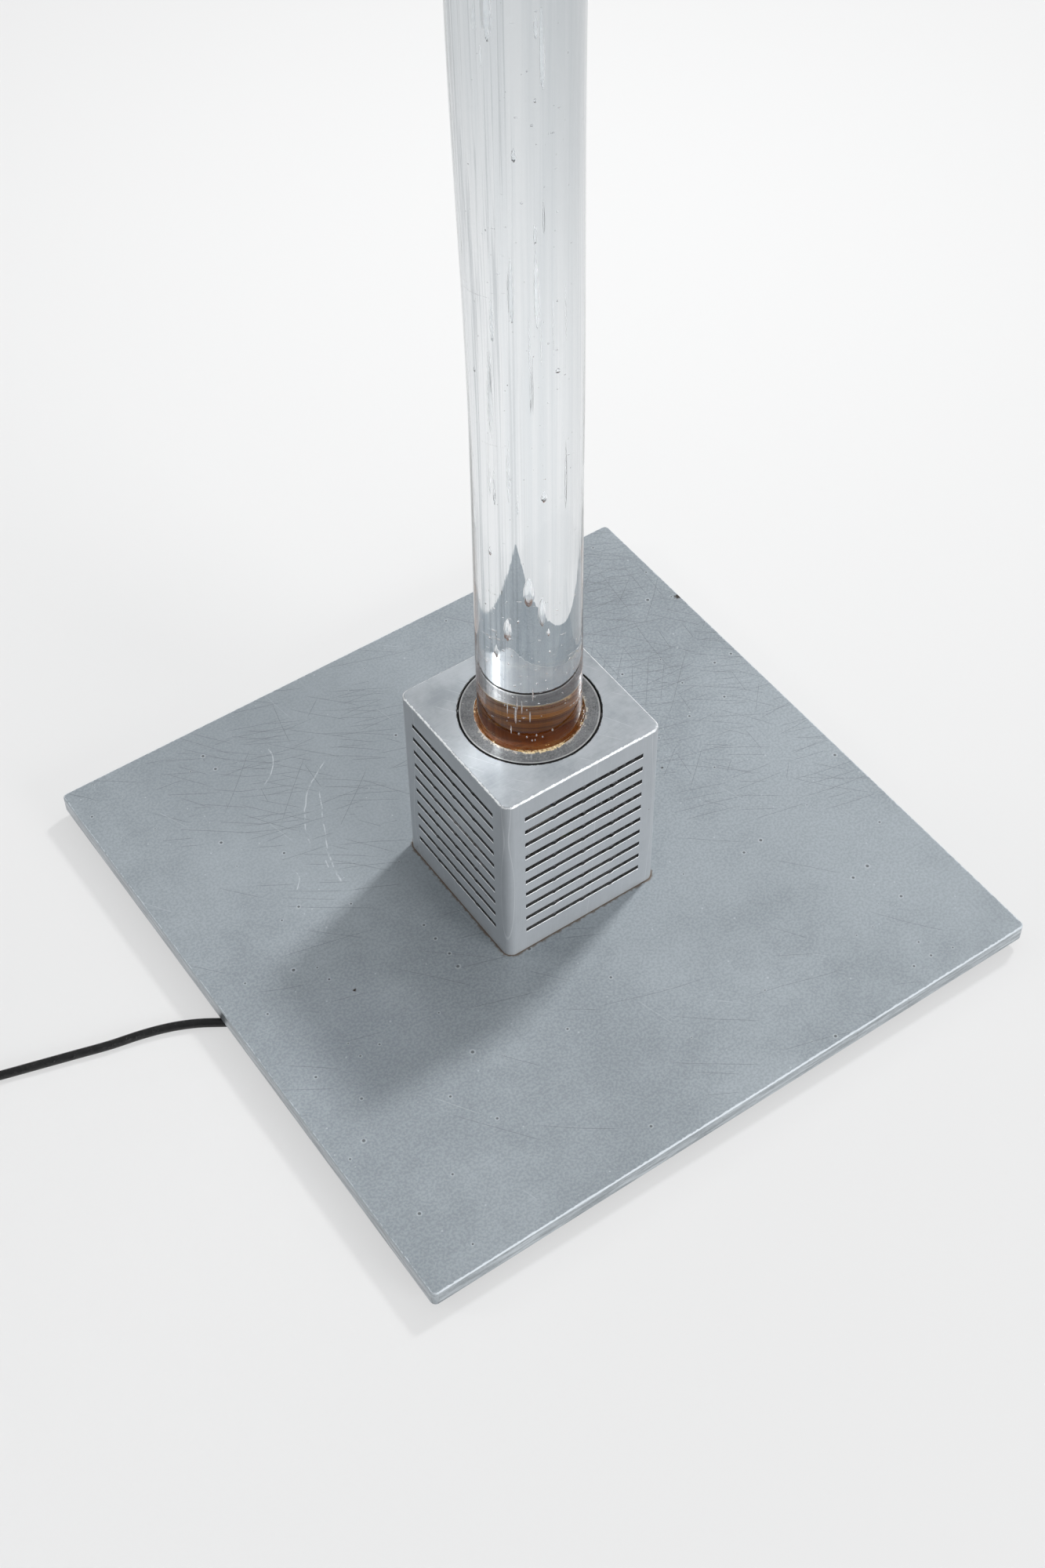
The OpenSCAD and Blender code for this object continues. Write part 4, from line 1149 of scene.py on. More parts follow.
ZINC = PlatedSteel("zinc_plate", (0.58, 0.58, 0.57), (0.36, 0.37, 0.38))
SCREW_STEEL = PlatedSteel("screw_steel", (0.55, 0.55, 0.54), (0.3, 0.3, 0.3), 0.22, 0.4)
NICKEL = PlatedSteel("pin_nickel", (0.68, 0.67, 0.64), (0.5, 0.49, 0.46), 0.14, 0.3)
BRASS = PlatedSteel("terminal_brass", (0.66, 0.49, 0.2), (0.42, 0.29, 0.1), 0.2, 0.38)
AMBER_BOND = AmberBond("amber_bond")
AMBER_RESIN = AmberResin("amber_resin_glossy")
CLEAR_ROD = ClearRod("clear_rod_cast")
BUBBLE_SKIN = BubbleSkin("bubble_skin")
FOOT_RUBBER = Rubber("foot_rubber", dusty=0.35)
LEAD_SHEATH = Rubber(
    "lead_sheath_black", (0.003, 0.003, 0.003), (0.16, 0.16, 0.16), 0.14, 0.3, 0.04, 240.0, 0.0007
)
SWITCH_PLASTIC = Rubber(
    "switch_plastic_black", (0.014, 0.014, 0.015), (0.1, 0.1, 0.1), 0.4, 0.55, 0.4, 1500.0
)
BUTTON_PLASTIC = Rubber(
    "button_plastic_grey", (0.035, 0.035, 0.037), (0.12, 0.12, 0.12), 0.22, 0.34, 0.3, 700.0
)
PORCELAIN = Moulded("porcelain_glazed", (0.8, 0.77, 0.7), (0.62, 0.58, 0.5), 0.12, 0.24, 0.00004, 0.5)
BLOCK_PLASTIC = Moulded("block_plastic_white", (0.74, 0.73, 0.68), (0.55, 0.53, 0.46))

NODES_BY_FINISH: dict[Finish, str] = {
    PlateSteel("plate_steel_grey"): "base_plate",
    HousingAluminium("housing_aluminium_satin"): "housing",
    CollarSteel("collar_steel_dark"): "collar",
    ZINC: "centring_flange collar_pillars holder_bracket cord_clamp",
    SCREW_STEEL: (
        "foot_screws pillar_screws collar_studs bulb_pins bracket_screws holder_screws "
        "clamp_screws switch_screws"
    ),
    NICKEL: "plug_pins",
    BRASS: "terminal_screws earth_screw plug_earth_clips",
    AMBER_RESIN: "resin_seat",
    CLEAR_ROD: "bubble_rod",
    BulbGlass("bulb_glass_mirrored"): "reflector_bulb",
    PORCELAIN: "lampholder",
    BLOCK_PLASTIC: "terminal_block switch_module",
    Moulded("core_brown_plastic", (0.19, 0.07, 0.025), (0.12, 0.045, 0.018)): "wire_live",
    Moulded("core_blue_plastic", (0.03, 0.12, 0.42), (0.02, 0.07, 0.28)): "wire_neutral",
    StripedCore("core_green_yellow"): "wire_earth",
    FOOT_RUBBER: "base_feet seat_ring cable_grommet switch_boots",
    LEAD_SHEATH: "cord_tail cord_lead cord_link cord_coil cord_end",
    SWITCH_PLASTIC: "switch_base switch_cover plug_body",
    BUTTON_PLASTIC: "switch_button",
}
NODE_FINISHES = {node: finish for finish, nodes in NODES_BY_FINISH.items() for node in nodes.split()}


# Pieces


def link(name: str, data: bpy.types.ID) -> bpy.types.Object:
    """Put data into the scene under a name, as an object at the origin.

    Args:
        name: The object's name.
        data: Its mesh, curve, light or camera.

    Returns:
        The object.
    """
    piece = bpy.data.objects.new(name, data)
    bpy.context.scene.collection.objects.link(piece)
    return piece


def freeze(piece: bpy.types.Object) -> None:
    """Turn what a piece's modifiers make into its plain mesh, and remove them.

    Args:
        piece: The piece.
    """
    bpy.context.view_layer.update()
    evaluated = piece.evaluated_get(bpy.context.evaluated_depsgraph_get())
    made = bpy.data.meshes.new_from_object(evaluated)
    piece.modifiers.clear()
    piece.data = made


def to_mesh(work: bmesh.types.BMesh, name: str) -> bpy.types.Mesh:
    """Keep a piece of mesh work as a new mesh, and free the work.

    Args:
        work: The mesh work.
        name: The mesh's name.

    Returns:
        The mesh.
    """
    mesh = bpy.data.meshes.new(name)
    work.to_mesh(mesh)
    work.free()
    return mesh


def seat(piece: bpy.types.Object, body: Body, nodes: Sequence[str]) -> None:
    """Let a new piece ride on its body in place of CAD nodes.

    Args:
        piece: The new piece.
        body: The body that it rides on.
        nodes: The CAD nodes that it replaces.
    """
    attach(piece, body.value)
    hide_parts(*nodes)
    LOG.info("%s rides on %s in place of %s", piece.name, body.value, ", ".join(nodes))


def softened(node: str, name: str, width: float, body: Body = Body.LAMP) -> bpy.types.Object:
    """Copy a CAD node with its sharp edges rounded, to stand for the node.

    Args:
        node: The CAD node.
        name: The new piece's name.
        width: Width of the rounding.
        body: The body that it rides on.

    Returns:
        The new piece.
    """
    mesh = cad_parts[node].data.copy()
    work = bmesh.new()
    work.from_mesh(mesh)
    bmesh.ops.remove_doubles(work, verts=work.verts, dist=WELD_DISTANCE)
    bmesh.ops.dissolve_limit(work, angle_limit=FLAT_ANGLE, verts=work.verts, edges=work.edges)
    for part in (*work.faces, *work.edges):
        part.smooth = True
    work.to_mesh(mesh)
    work.free()
    for name_of_layer in ("custom_normal", "sharp_face"):
        layer = mesh.attributes.get(name_of_layer)
        if layer is not None:
            mesh.attributes.remove(layer)
    mesh.materials.clear()
    mesh.materials.append(NODE_FINISHES[node].material())
    piece = link(name, mesh)
    bevel = piece.modifiers.new("rounding", "BEVEL")
    bevel.width = width
    bevel.segments = 2
    bevel.limit_method = "ANGLE"
    bevel.angle_limit = SHARP_ANGLE
    piece.modifiers.new("flat_faces", "WEIGHTED_NORMAL").weight = FLAT_FACE_WEIGHT
    freeze(piece)
    seat(piece, body, [node])
    return piece


@dataclass
class Studio:
    """Camera at the photograph's place, pale floor, soft surroundings and lamps."""

    azimuth: float = math.radians(-34.24)
    elevation: float = math.radians(49.88)
    roll: float = math.radians(-0.83)
    aim: Point = (0.03536, 0.06161, 0.022)
    distance: float = 1.702845
    focal_pixels: float = 2923.88
    picture_height: float = 2000.0
    sensor: float = 36.0
    clip: Range = (0.05, 60.0)
    floor_size: float = 14.0
    floor_light: Colour = (0.385, 0.384, 0.382)
    floor_dark: Colour = (0.285, 0.284, 0.283)
    floor_middle: Point = (0.42, 0.62, 0.0)
    floor_lift: float = 0.555
    surroundings: Colour = (0.955, 0.98, 1.0)
    backdrop: float = 0.86
    lamp_distance: float = 6.0
    lamp_aim: Point = (0.0, 0.0, 0.1)
    lamps: tuple[tuple[str, Point, float, float], ...] = (
        ("key", (0.66, 0.21, 0.72), 0.65, 172.0),
        ("fill_front_right", (0.3, -0.92, 0.28), 2.4, 205.0),
        ("back_left", (-0.68, 0.53, 0.47), 1.1, 38.0),
        ("back_window", (0.355, 0.543, 0.761), 0.14, 1.8),
    )

    def build(self) -> None:
        """Make the camera, the floor, the world and the lamps."""
        self.camera()
        self.floor()
        self.world()
        for name, towards, size, power in self.lamps:
            self.lamp(name, towards, size, power)
        bpy.context.scene.view_settings.view_transform = "Standard"
        LOG.info("studio: camera, floor, world and %d lamps", len(self.lamps))

    def camera(self) -> None:
        """Stand the camera where the photograph was taken."""
        a, e = self.azimuth, self.elevation
        forward = Vector((-math.sin(a) * math.cos(e), math.cos(a) * math.cos(e), -math.sin(e)))
        level = Vector((math.cos(a), math.sin(a), 0.0))
        upright = level.cross(forward)
        right = math.cos(self.roll) * level + math.sin(self.roll) * upright
        up = math.cos(self.roll) * upright - math.sin(self.roll) * level
        data = bpy.data.cameras.new("camera")
        data.sensor_width = self.sensor
        data.lens = self.focal_pixels * self.sensor / self.picture_height
        data.clip_start, data.clip_end = self.clip
        camera = link("camera", data)
        turn = Matrix((right, up, -forward)).transposed().to_4x4()
        camera.matrix_world = Matrix.Translation(Vector(self.aim) - self.distance * forward) @ turn
        bpy.context.scene.camera = camera

    def floor(self) -> None:
        """Lay the floor: pale, with a pool of light painted behind the lamp, and the object's shadow on it.
        """
        half = self.floor_size / 2
        corners = [(-half, -half, 0), (half, -half, 0), (half, half, 0), (-half, half, 0)]
        mesh = bpy.data.meshes.new("floor")
        mesh.from_pydata(corners, [], [(0, 1, 2, 3)])
        paper = Surface("floor_paper")
        # painted pool of light: the floor is lightest round floor_middle and darker away from it
        away = paper.away(self.floor_middle).spread(0.05, 1.0)
        paper.set(
            Base_Color=paper.mix(away, self.floor_light, self.floor_dark),
            Roughness=0.9,
            Specular_IOR_Level=0.1,
            Emission_Color=(1.0, 1.0, 1.0),
            Emission_Strength=self.seen_directly(paper) * self.floor_lift,
        )
        mesh.materials.append(paper.material)
        link("floor", mesh)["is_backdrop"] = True

    def seen_directly(self, bench: Bench) -> Value:
        """Tell rays of the eye, of mirrors and of glass from those that only gather light.

        Args:
            bench: The material's bench.

        Returns:
            1 for a ray that sees the surface, and else 0.
        """
        path = bench.add("ShaderNodeLightPath").outputs
        rays = ("Is Camera Ray", "Is Transmission Ray", "Is Glossy Ray")
        return merged(Value(bench, path[ray]) for ray in rays)

    def world(self) -> None:
        """Surround the lamp with soft light, brighter overhead, and a pale backdrop."""
        world = bpy.data.worlds.new("studio")
        world.use_nodes = True
        bpy.context.scene.world = world
        world.node_tree.nodes.clear()
        bench = Bench(world.node_tree)
        _, _, up = bench.value("ShaderNodeTexCoord", output="Generated").split()
        seen = bench.value("ShaderNodeLightPath", output="Is Camera Ray")
        strength = bench.blend(seen, up.spread(-0.1, 0.9, 0.29, 0.48), self.backdrop)
        glow = bench.value("ShaderNodeBackground", {"Color": self.surroundings, "Strength": strength})
        bench.add("ShaderNodeOutputWorld", {"Surface": glow})

    def lamp(self, name: str, towards: Point, size: float, power: float) -> None:
        """Hang a softbox in a direction from the housing, aimed at it.

        Args:
            name: The lamp's name.
            towards: The direction from the housing.
            size: Length of its sides.
            power: Its power in watts.
        """
        data = bpy.data.lights.new(name, "AREA")
        data.shape = "SQUARE"
        data.size = size
        data.energy = power
        direction = Vector(towards).normalized()
        lamp = link(name, data)
        lamp.rotation_mode = "QUATERNION"
        lamp.rotation_quaternion = direction.to_track_quat("Z", "Y")
        lamp.location = Vector(self.lamp_aim) + self.lamp_distance * direction


@dataclass
class MainsLead:
    """The black mains lead: from the lamp to the foot switch, and on through a coil to the plug."""

    diameter: float = 0.0065
    coil_centre: tuple[float, float] = (-0.558, 0.164)
    coil_outer: float = 0.0471
    coil_inner: float = 0.0249
    coil_pitch: float = 0.0074
    coil_step: float = 0.00725
    layer_turns: int = 3
    coil_turns: float = 6.25
    points_per_turn: int = 20
    shell_rounding: float = 0.0006
    cover_rounding: float = 0.0007
    button_rounding: float = 0.0005
    plug_rounding: float = 0.0005
    lead_points: tuple[Point, ...] = (
        (-0.087, 0.0, 0.0047), (-0.095, 0.0, 0.0047), (-0.112, -0.002, 0.0041), (-0.132, -0.006, 0.0035),
        (-0.156, -0.010, 0.0033), (-0.182, -0.012, 0.0033),
        (-0.206, -0.008, 0.0033), (-0.228, 0.003, 0.0033),
        (-0.247, 0.016, 0.0033), (-0.264, 0.027, 0.0033), (-0.281, 0.035, 0.0033), (-0.300, 0.041, 0.0033),
        (-0.322, 0.046, 0.0033), (-0.346, 0.053, 0.0033), (-0.370, 0.060, 0.0033), (-0.394, 0.067, 0.0033),
        (-0.414, 0.072, 0.005), (-0.430, 0.075, 0.0082), (-0.439, 0.076, 0.010), (-0.445, 0.076, 0.010),
    )
    link_points: tuple[Point, ...] = (
        (-0.573, 0.076, 0.010), (-0.579, 0.076, 0.010), (-0.589, 0.079, 0.0086), (-0.599, 0.087, 0.0068),
        (-0.605, 0.099, 0.005), (-0.606, 0.113, 0.0038), (-0.606, 0.128, 0.0034), (-0.606, 0.143, 0.0033),
        (-0.6051, 0.1505, 0.00325),
    )
    end_points: tuple[Point, ...] = (
        (-0.5445, 0.20925, 0.0105), (-0.531, 0.209, 0.0104), (-0.518, 0.208, 0.011), (-0.505, 0.207, 0.0134),
        (-0.494, 0.206, 0.0162), (-0.486, 0.206, 0.018), (-0.480, 0.206, 0.018),
    )

    def build(self) -> None:
        lead = self.cord("lead_to_switch", self.lead_points)
        seat(lead, Body.LAMP, ["cord_lead"])
        switch = [
            softened("switch_base", "switch_lower_shell", self.shell_rounding),
            softened("switch_cover", "switch_upper_shell", self.cover_rounding),
            softened("switch_button", "switch_push_button", self.button_rounding, Body.BUTTON),
            *(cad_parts[node] for node in ("switch_module", "switch_screws", "switch_boots")),
        ]
        route = [*self.link_points, *self.coil(), *self.end_points]
        rest = self.cord("lead_to_plug", route)
        seat(rest, Body.LAMP, ["cord_link", "cord_coil", "cord_end"])
        plug = [
            softened("plug_body", "plug_moulding", self.plug_rounding),
            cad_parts["plug_pins"],
            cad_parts["plug_earth_clips"],
        ]
        lengths = (self.run(self.lead_points), self.run(route))
        LOG.info("mains lead: %.2f m to the switch and %.2f m on", *lengths)

    def run(self, points: Sequence[Point]) -> float:
        """Length along a route."""
        return sum((Vector(b) - Vector(a)).length for a, b in zip(points, points[1:]))

    def coil(self) -> list[Point]:
        """Points of the coil: in on the floor, up in half a turn, and out again on top."""
        count = round(self.coil_turns * self.points_per_turn)
        return [self.coil_point(i / self.points_per_turn) for i in range(count + 1)]

    def coil_point(self, turns: float) -> Point:
        """Find the cord's middle along the coil.

        Args:
            turns: How many turns from the coil's start.

        Returns:
            The place.
        """
        climb = turns - self.layer_turns
        dip = self.coil_pitch / (2 * math.pi)
        if climb <= 0:
            radius = self.coil_outer - self.coil_pitch * turns
        elif climb <= 0.5:
            radius = self.coil_inner - dip * math.sin(math.tau * climb)
        else:
            radius = self.coil_inner + self.coil_pitch * (climb - 0.5)
        share = min(1.0, max(0.0, 2 * climb))
        height = self.diameter / 2 + self.coil_step * share * share * (3 - 2 * share)
        turn = math.tau * turns
        x, y = self.coil_centre
        return (x - radius * math.cos(turn), y + radius * math.sin(turn), height)

    def cord(self, name: str, points: Sequence[Point]) -> bpy.types.Object:
        """Draw a round cord on one smooth curve through the points.

        Args:
            name: The piece's name.
            points: The route, from its start to its end.

        Returns:
            The cord, a curve with one open spline.
        """
        curve = bpy.data.curves.new(name, "CURVE")
        curve.dimensions = "3D"
        curve.resolution_u = 4
        curve.bevel_depth = self.diameter / 2
        curve.bevel_resolution = 6
        curve.use_fill_caps = True
        spline = curve.splines.new("BEZIER")
        spline.bezier_points.add(len(points) - 1)
        places = [Vector(p) for p in points]
        for i, point in enumerate(spline.bezier_points):
            before, after = places[max(i - 1, 0)], places[min(i + 1, len(places) - 1)]
            heading = (after - before).normalized()
            point.co = places[i]
            point.handle_left_type = point.handle_right_type = "FREE"
            point.handle_left = places[i] - heading * (places[i] - before).length / 3
            point.handle_right = places[i] + heading * (after - places[i]).length / 3
        curve.materials.append(LEAD_SHEATH.material())
        return link(name, curve)


@dataclass(frozen=True)
class Bubble:
    """One listed bubble: the height of its middle, its place across the rod, and its size."""

    height: float
    reach: float
    degrees: float
    length: float
    width: float

    def place(self) -> Point:
        """Middle of the bubble."""
        turn = math.radians(self.degrees)
        return (self.reach * math.cos(turn), self.reach * math.sin(turn), self.height)


@dataclass(frozen=True)
class Swarm:
    """Bubbles at random places: the inputs for their count and top, and the limits of their half sizes."""

    count: str
    salt: int
    widths: Range
    lengths: Range
    reach: float
    top: str = "High"


@dataclass
class BubbleRod:
    """The clear rod: a wavy polished skin, its glued foot, and bubbles inside."""

    radius: float = 0.0352
    sides: int = 144
    step: float = 0.0052
    bevel: float = 0.001
    foot_gap: float = 0.00005
    glued_top: float = 0.1812
    glued_rings: int = 6
    swell: float = -0.027
    swell_length: float = 0.72
    swell_from: float = 0.25
    ripple: float = 0.0022
    ripple_scale: Point = (85.0, 85.0, 2.6)
    wavy_from: float = 0.195
    lean: Point = (-0.0028, 0.0019, 0.0)
    lean_rise: Range = (0.42, 0.72)
    lean_fall: Range = (0.95, 1.5)
    room_below: float = 0.004
    room_above: float = 0.03
    wavy_fade: float = 0.08
    top_fade: float = 0.05
    plain_top: float = 0.01
    drop_faces: tuple[int, int] = (18, 14)
    speck_faces: tuple[int, int] = (8, 6)
    belly: float = 0.3
    taper: float = 0.3
    fullness: float = 0.92
    crowding: float = 2.5
    clear_middle: float = 0.01
    smooth_angle: float = math.radians(50)
    specks: int = 640
    fizz: int = 130
    fizz_top: float = 0.3
    drawn: int = 52
    seed: int = 7
    drawn_swarm: Swarm = Swarm("Drawn bubbles", 1, (0.0003, 0.001), (0.007, 0.032), 0.86)
    speck_swarm: Swarm = Swarm("Specks", 2, (0.00016, 0.0004), (0.0002, 0.0008), 0.93)
    fizz_swarm: Swarm = Swarm("Fizz", 3, (0.0003, 0.00062), (0.0004, 0.0014), 0.9, "Fizz top")
    bubbles: tuple[Bubble, ...] = tuple(
        Bubble(*row)
        for row in (
            (0.3157, 0.0106, -124, 0.026, 0.0052),
            (0.2805, 0.0126, -170, 0.0207, 0.0042),
            (0.2918, 0.0046, -28, 0.0266, 0.0026),
            (0.2594, 0.0174, 178, 0.0125, 0.0022),
            (0.2800, 0.0154, -89, 0.0071, 0.0019),
            (0.4124, 0.0093, -174, 0.0507, 0.0012),
            (0.3956, 0.0150, -96, 0.0094, 0.0028),
            (0.3460, 0.0183, 172, 0.0081, 0.0018),
            (0.5448, 0.0082, -88, 0.0547, 0.0026),
            (0.5171, 0.0182, -101, 0.0429, 0.0009),
            (0.5213, 0.0194, -84, 0.0411, 0.0009),
            (0.5279, 0.0211, -66, 0.0393, 0.0009),
            (0.5410, 0.0041, 141, 0.0443, 0.0024),
            (0.5210, 0.0125, 165, 0.0293, 0.0022),
            (0.4629, 0.0118, 130, 0.0670, 0.0020),
            (0.4880, 0.0172, -72, 0.0039, 0.0024),
            (0.4840, 0.0228, 162, 0.0043, 0.0014),
            (0.7170, 0.0095, 158, 0.0473, 0.0044),
            (0.6319, 0.0107, -135, 0.0090, 0.0024),
            (0.6903, 0.0104, -68, 0.0466, 0.0018),
            (0.6674, 0.0216, -104, 0.0027, 0.0012),
            (0.2250, 0.0310, -138.8, 0.0160, 0.0011),
            (0.2220, 0.0310, -133.3, 0.0140, 0.0010),
            (0.2130, 0.0314, -124.2, 0.0110, 0.0011),
            (0.2180, 0.0310, -150.3, 0.0110, 0.0010),
            (0.2330, 0.0296, -120.6, 0.0130, 0.0009),
            (0.1985, 0.0316, -146, 0.0090, 0.0010),
            (0.1960, 0.0318, -137, 0.0024, 0.0014),
            (0.1935, 0.0318, -128, 0.0022, 0.0013),
            (0.1950, 0.0318, -117, 0.0026, 0.0014),
            (0.1925, 0.0318, -110, 0.0021, 0.0012),
            (0.1965, 0.0316, -98, 0.0027, 0.0014),
            (0.1900, 0.0318, -122, 0.0020, 0.0012),
        )
    )

    def build(self) -> None:
        """Make the rod and put it in place of its CAD node."""
        low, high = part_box("bubble_rod")
        settings = {
            "Specks": self.specks,
            "Drawn bubbles": self.drawn,
            "Fizz": self.fizz,
            "Seed": self.seed,
            "Low": self.glued_top + self.room_below,
            "High": high.z - self.room_above,
            "Fizz top": self.fizz_top,
            "Radius": self.radius,
            "Swell": self.swell,
            "Swell length": self.swell_length,
            "Swell from": self.swell_from,
            "Ripple": self.ripple,
            "Wavy from": self.wavy_from,
            "Lean": self.lean,
            "Clear finish": CLEAR_ROD.material(),
            "Glued finish": AMBER_BOND.material(),
            "Bubble finish": BUBBLE_SKIN.material(),
        }
        piece = link("bubble_rod_cast", self.skin(low.z + self.foot_gap, high.z))
        grow = piece.modifiers.new("bubbles", "NODES")
        grow.node_group = self.tree(settings)
        for item in grow.node_group.interface.items_tree:
            if item.name in settings:
                grow[item.identifier] = settings[item.name]
        freeze(piece)
        piece.data.shade_smooth()
        piece.data.set_sharp_from_angle(angle=self.smooth_angle)
        piece.visible_shadow = False
        seat(piece, Body.LAMP, ["bubble_rod"])
        numbers = (len(self.bubbles), self.drawn, self.specks)
        LOG.info("bubble rod: %d bubbles by hand, %d drawn, %d specks", *numbers)

    def rings(self, low: float, high: float) -> list[tuple[float, float]]:
        """Lay out the rings of the skin, closer together where it is glued.

        Args:
            low: Height of the rod's foot.
            high: Height of its top.

        Returns:
            Each ring's height and radius, from the foot up.
        """
        foot, top = low + self.bevel, high - self.bevel
        glued = [foot + (self.glued_top - foot) * i / self.glued_rings for i in range(self.glued_rings + 1)]
        start = glued[-1]
        count = math.ceil((top - start) / self.step)
        free = [start + (top - start) * i / count for i in range(1, count + 1)]
        narrow = self.radius - self.bevel
        return [(low, narrow), *((z, self.radius) for z in (*glued, *free)), (high, narrow)]

    def skin(self, low: float, high: float) -> bpy.types.Mesh:
        """Make the rod's outer skin with its glued faces marked, and a loose point for each placed bubble.

        Args:
            low: Height of the rod's foot.
            high: Height of its top.

        Returns:
            The mesh, whose points carry a bubble's size where they stand for one.
        """
        work = bmesh.new()
        mark = work.faces.layers.bool.new("glued")
        turns = [math.tau * k / self.sides for k in range(self.sides)]
        loops = [
            [work.verts.new((r * math.cos(turn), r * math.sin(turn), z)) for turn in turns]
            for z, r in self.rings(low, high)
        ]
        for i, (lower, upper) in enumerate(zip(loops, loops[1:])):
            for k in range(self.sides):
                n = (k + 1) % self.sides
                face = work.faces.new((lower[k], lower[n], upper[n], upper[k]))
                face[mark] = i < self.glued_rings + 1
        foot = work.faces.new(list(reversed(loops[0])))
        foot[mark] = True
        work.faces.new(loops[-1])
        size = work.verts.layers.float_vector.new("bubble_size")
        for bubble in self.bubbles:
            point = work.verts.new(bubble.place())
            point[size] = (bubble.width / 2, bubble.width / 2, bubble.length / 2)
        return to_mesh(work, "bubble_rod_cast")

    def tree(self, settings: Mapping[str, object]) -> bpy.types.NodeTree:
        """Build the node tree that makes the skin wavy and fills it with bubbles.

        Args:
            settings: What its named inputs will hold.

        Returns:
            The tree.
        """
        tree = bpy.data.node_groups.new("bubble_rod_tree", "GeometryNodeTree")
        kinds = {int: "Int", float: "Float", tuple: "Vector", bpy.types.Material: "Material"}
        sockets = {"Geometry": "Geometry"} | {name: kinds[type(value)] for name, value in settings.items()}
        for name, kind in sockets.items():
            tree.interface.new_socket(name, in_out="INPUT", socket_type=f"NodeSocket{kind}")
        tree.interface.new_socket("Geometry", in_out="OUTPUT", socket_type="NodeSocketGeometry")
        bench = Bench(tree)
        given = bench.given()
        size = self.attribute(bench, "bubble_size", "FLOAT_VECTOR")
        plugs = {"Geometry": given["Geometry"], "Selection": size.math("LENGTH").above(0.0)}
        parts = bench.add("GeometryNodeSeparateGeometry", plugs)
        drop = self.drop(bench, *self.drop_faces)
        small_drop = self.drop(bench, *self.speck_faces)
        plugs = {"Points": Value(bench, parts.outputs["Selection"]), "Instance": drop, "Scale": size}
        joined = bench.add("GeometryNodeJoinGeometry")
        for geometry in (
            self.wavy(bench, Value(bench, parts.outputs["Inverted"]), given),
            bench.value("GeometryNodeInstanceOnPoints", plugs),
            self.scatter(bench, given, self.drawn_swarm, drop),
            self.scatter(bench, given, self.speck_swarm, small_drop),
            self.scatter(bench, given, self.fizz_swarm, small_drop),
        ):
            bench.feed(joined.inputs[0], geometry)
        real = bench.value("GeometryNodeRealizeInstances", {"Geometry": Value(bench, joined.outputs[0])})
        real = self.leaning(bench, real, given)
        done = bench.value("GeometryNodeSetMaterial", {"Geometry": real, "Material": given["Clear finish"]})
        for mark, finish in (("in_bubble", "Bubble finish"), ("glued", "Glued finish")):
            marked = self.attribute(bench, mark, "BOOLEAN")
            plugs = {"Geometry": done, "Selection": marked, "Material": given[finish]}
            done = bench.value("GeometryNodeSetMaterial", plugs)
        bench.add("NodeGroupOutput", {0: done})
        return tree

    def attribute(self, bench: Bench, name: str, kind: str) -> Value:
        """A named attribute of the geometry."""
        return bench.value("GeometryNodeInputNamedAttribute", {"Name": name}, data_type=kind)

    def wavy(self, bench: Bench, skin: Value, given: Given) -> Value:
        """Give the skin the slow waves and the fine ripples of a cast rod, above its collar.

        Args:
            bench: The tree's bench.
            skin: The skin.
            given: The tree's inputs.

        Returns:
            The wavy skin.
        """
        place = bench.value("GeometryNodeInputPosition")
        x, y, z = place.split()
        top = given["High"] + (self.room_above - self.plain_top)
        risen = z.spread(given["Wavy from"], given["Wavy from"] + self.wavy_fade)
        free = risen * z.spread(top - self.top_fade, top, 1.0, 0.0)
        turns = (z - given["Swell from"]) / given["Swell length"]
        swell = (turns * math.tau).math("SINE") * given["Swell"]
        shiver = (bench.noise(1.0, 1.0, place=place * self.ripple_scale) - 0.5) * given["Ripple"]
        offset = bench.combine(x, y) * (free * (swell + shiver))
        return bench.value("GeometryNodeSetPosition", {"Geometry": skin, "Offset": offset})

    def leaning(self, bench: Bench, rod: Value, given: Given) -> Value:
        """Shift the rod's middle stretch sideways a little, as a drawn rod is never quite straight.

        Args:
            bench: The tree's bench.
            rod: The rod with its bubbles.
            given: The tree's inputs.

        Returns:
            The leaning rod.
        """
        _, _, z = bench.value("GeometryNodeInputPosition").split()
        share = z.spread(*self.lean_rise) * z.spread(*self.lean_fall, 1.0, 0.0)
        return bench.value("GeometryNodeSetPosition", {"Geometry": rod, "Offset": given["Lean"] * share})

    def drop(self, bench: Bench, segments: int, rings: int) -> Value:
        """Shape a bubble 2 long and 2 wide, pointed at both ends and fullest low down, facing inwards.

        Args:
            bench: The tree's bench.
            segments: Its faces round.
            rings: Its faces from end to end.

        Returns:
            The bubble.
        """
        ball = bench.value("GeometryNodeMeshUVSphere", {"Segments": segments, "Rings": rings, "Radius": 1.0})
        x, y, z = bench.value("GeometryNodeInputPosition").split()
        belly = (1.0 - z * z).max(0.0).math("POWER", self.belly)
        thin = belly * ((1.0 - z * self.taper) * self.fullness)
        plugs = {"Geometry": ball, "Position": bench.combine(x * thin, y * thin, z)}
        shaped = bench.value("GeometryNodeSetPosition", plugs)
        flipped = bench.value("GeometryNodeFlipFaces", {"Mesh": shaped})
        plugs = {"Geometry": flipped, "Name": "in_bubble", "Value": True}
        return bench.value("GeometryNodeStoreNamedAttribute", plugs, data_type="BOOLEAN", domain="FACE")

    def scatter(self, bench: Bench, given: Given, swarm: Swarm, drop: Value) -> Value:
        """Scatter bubbles at random places in the rod.

        Args:
            bench: The tree's bench.
            given: The tree's inputs.
            swarm: Which bubbles; its salt is added to the seed, so that each kind has its own places.
            drop: The bubble to copy.

        Returns:
            The bubbles.
        """
        seed = given["Seed"] + swarm.salt * 10.0

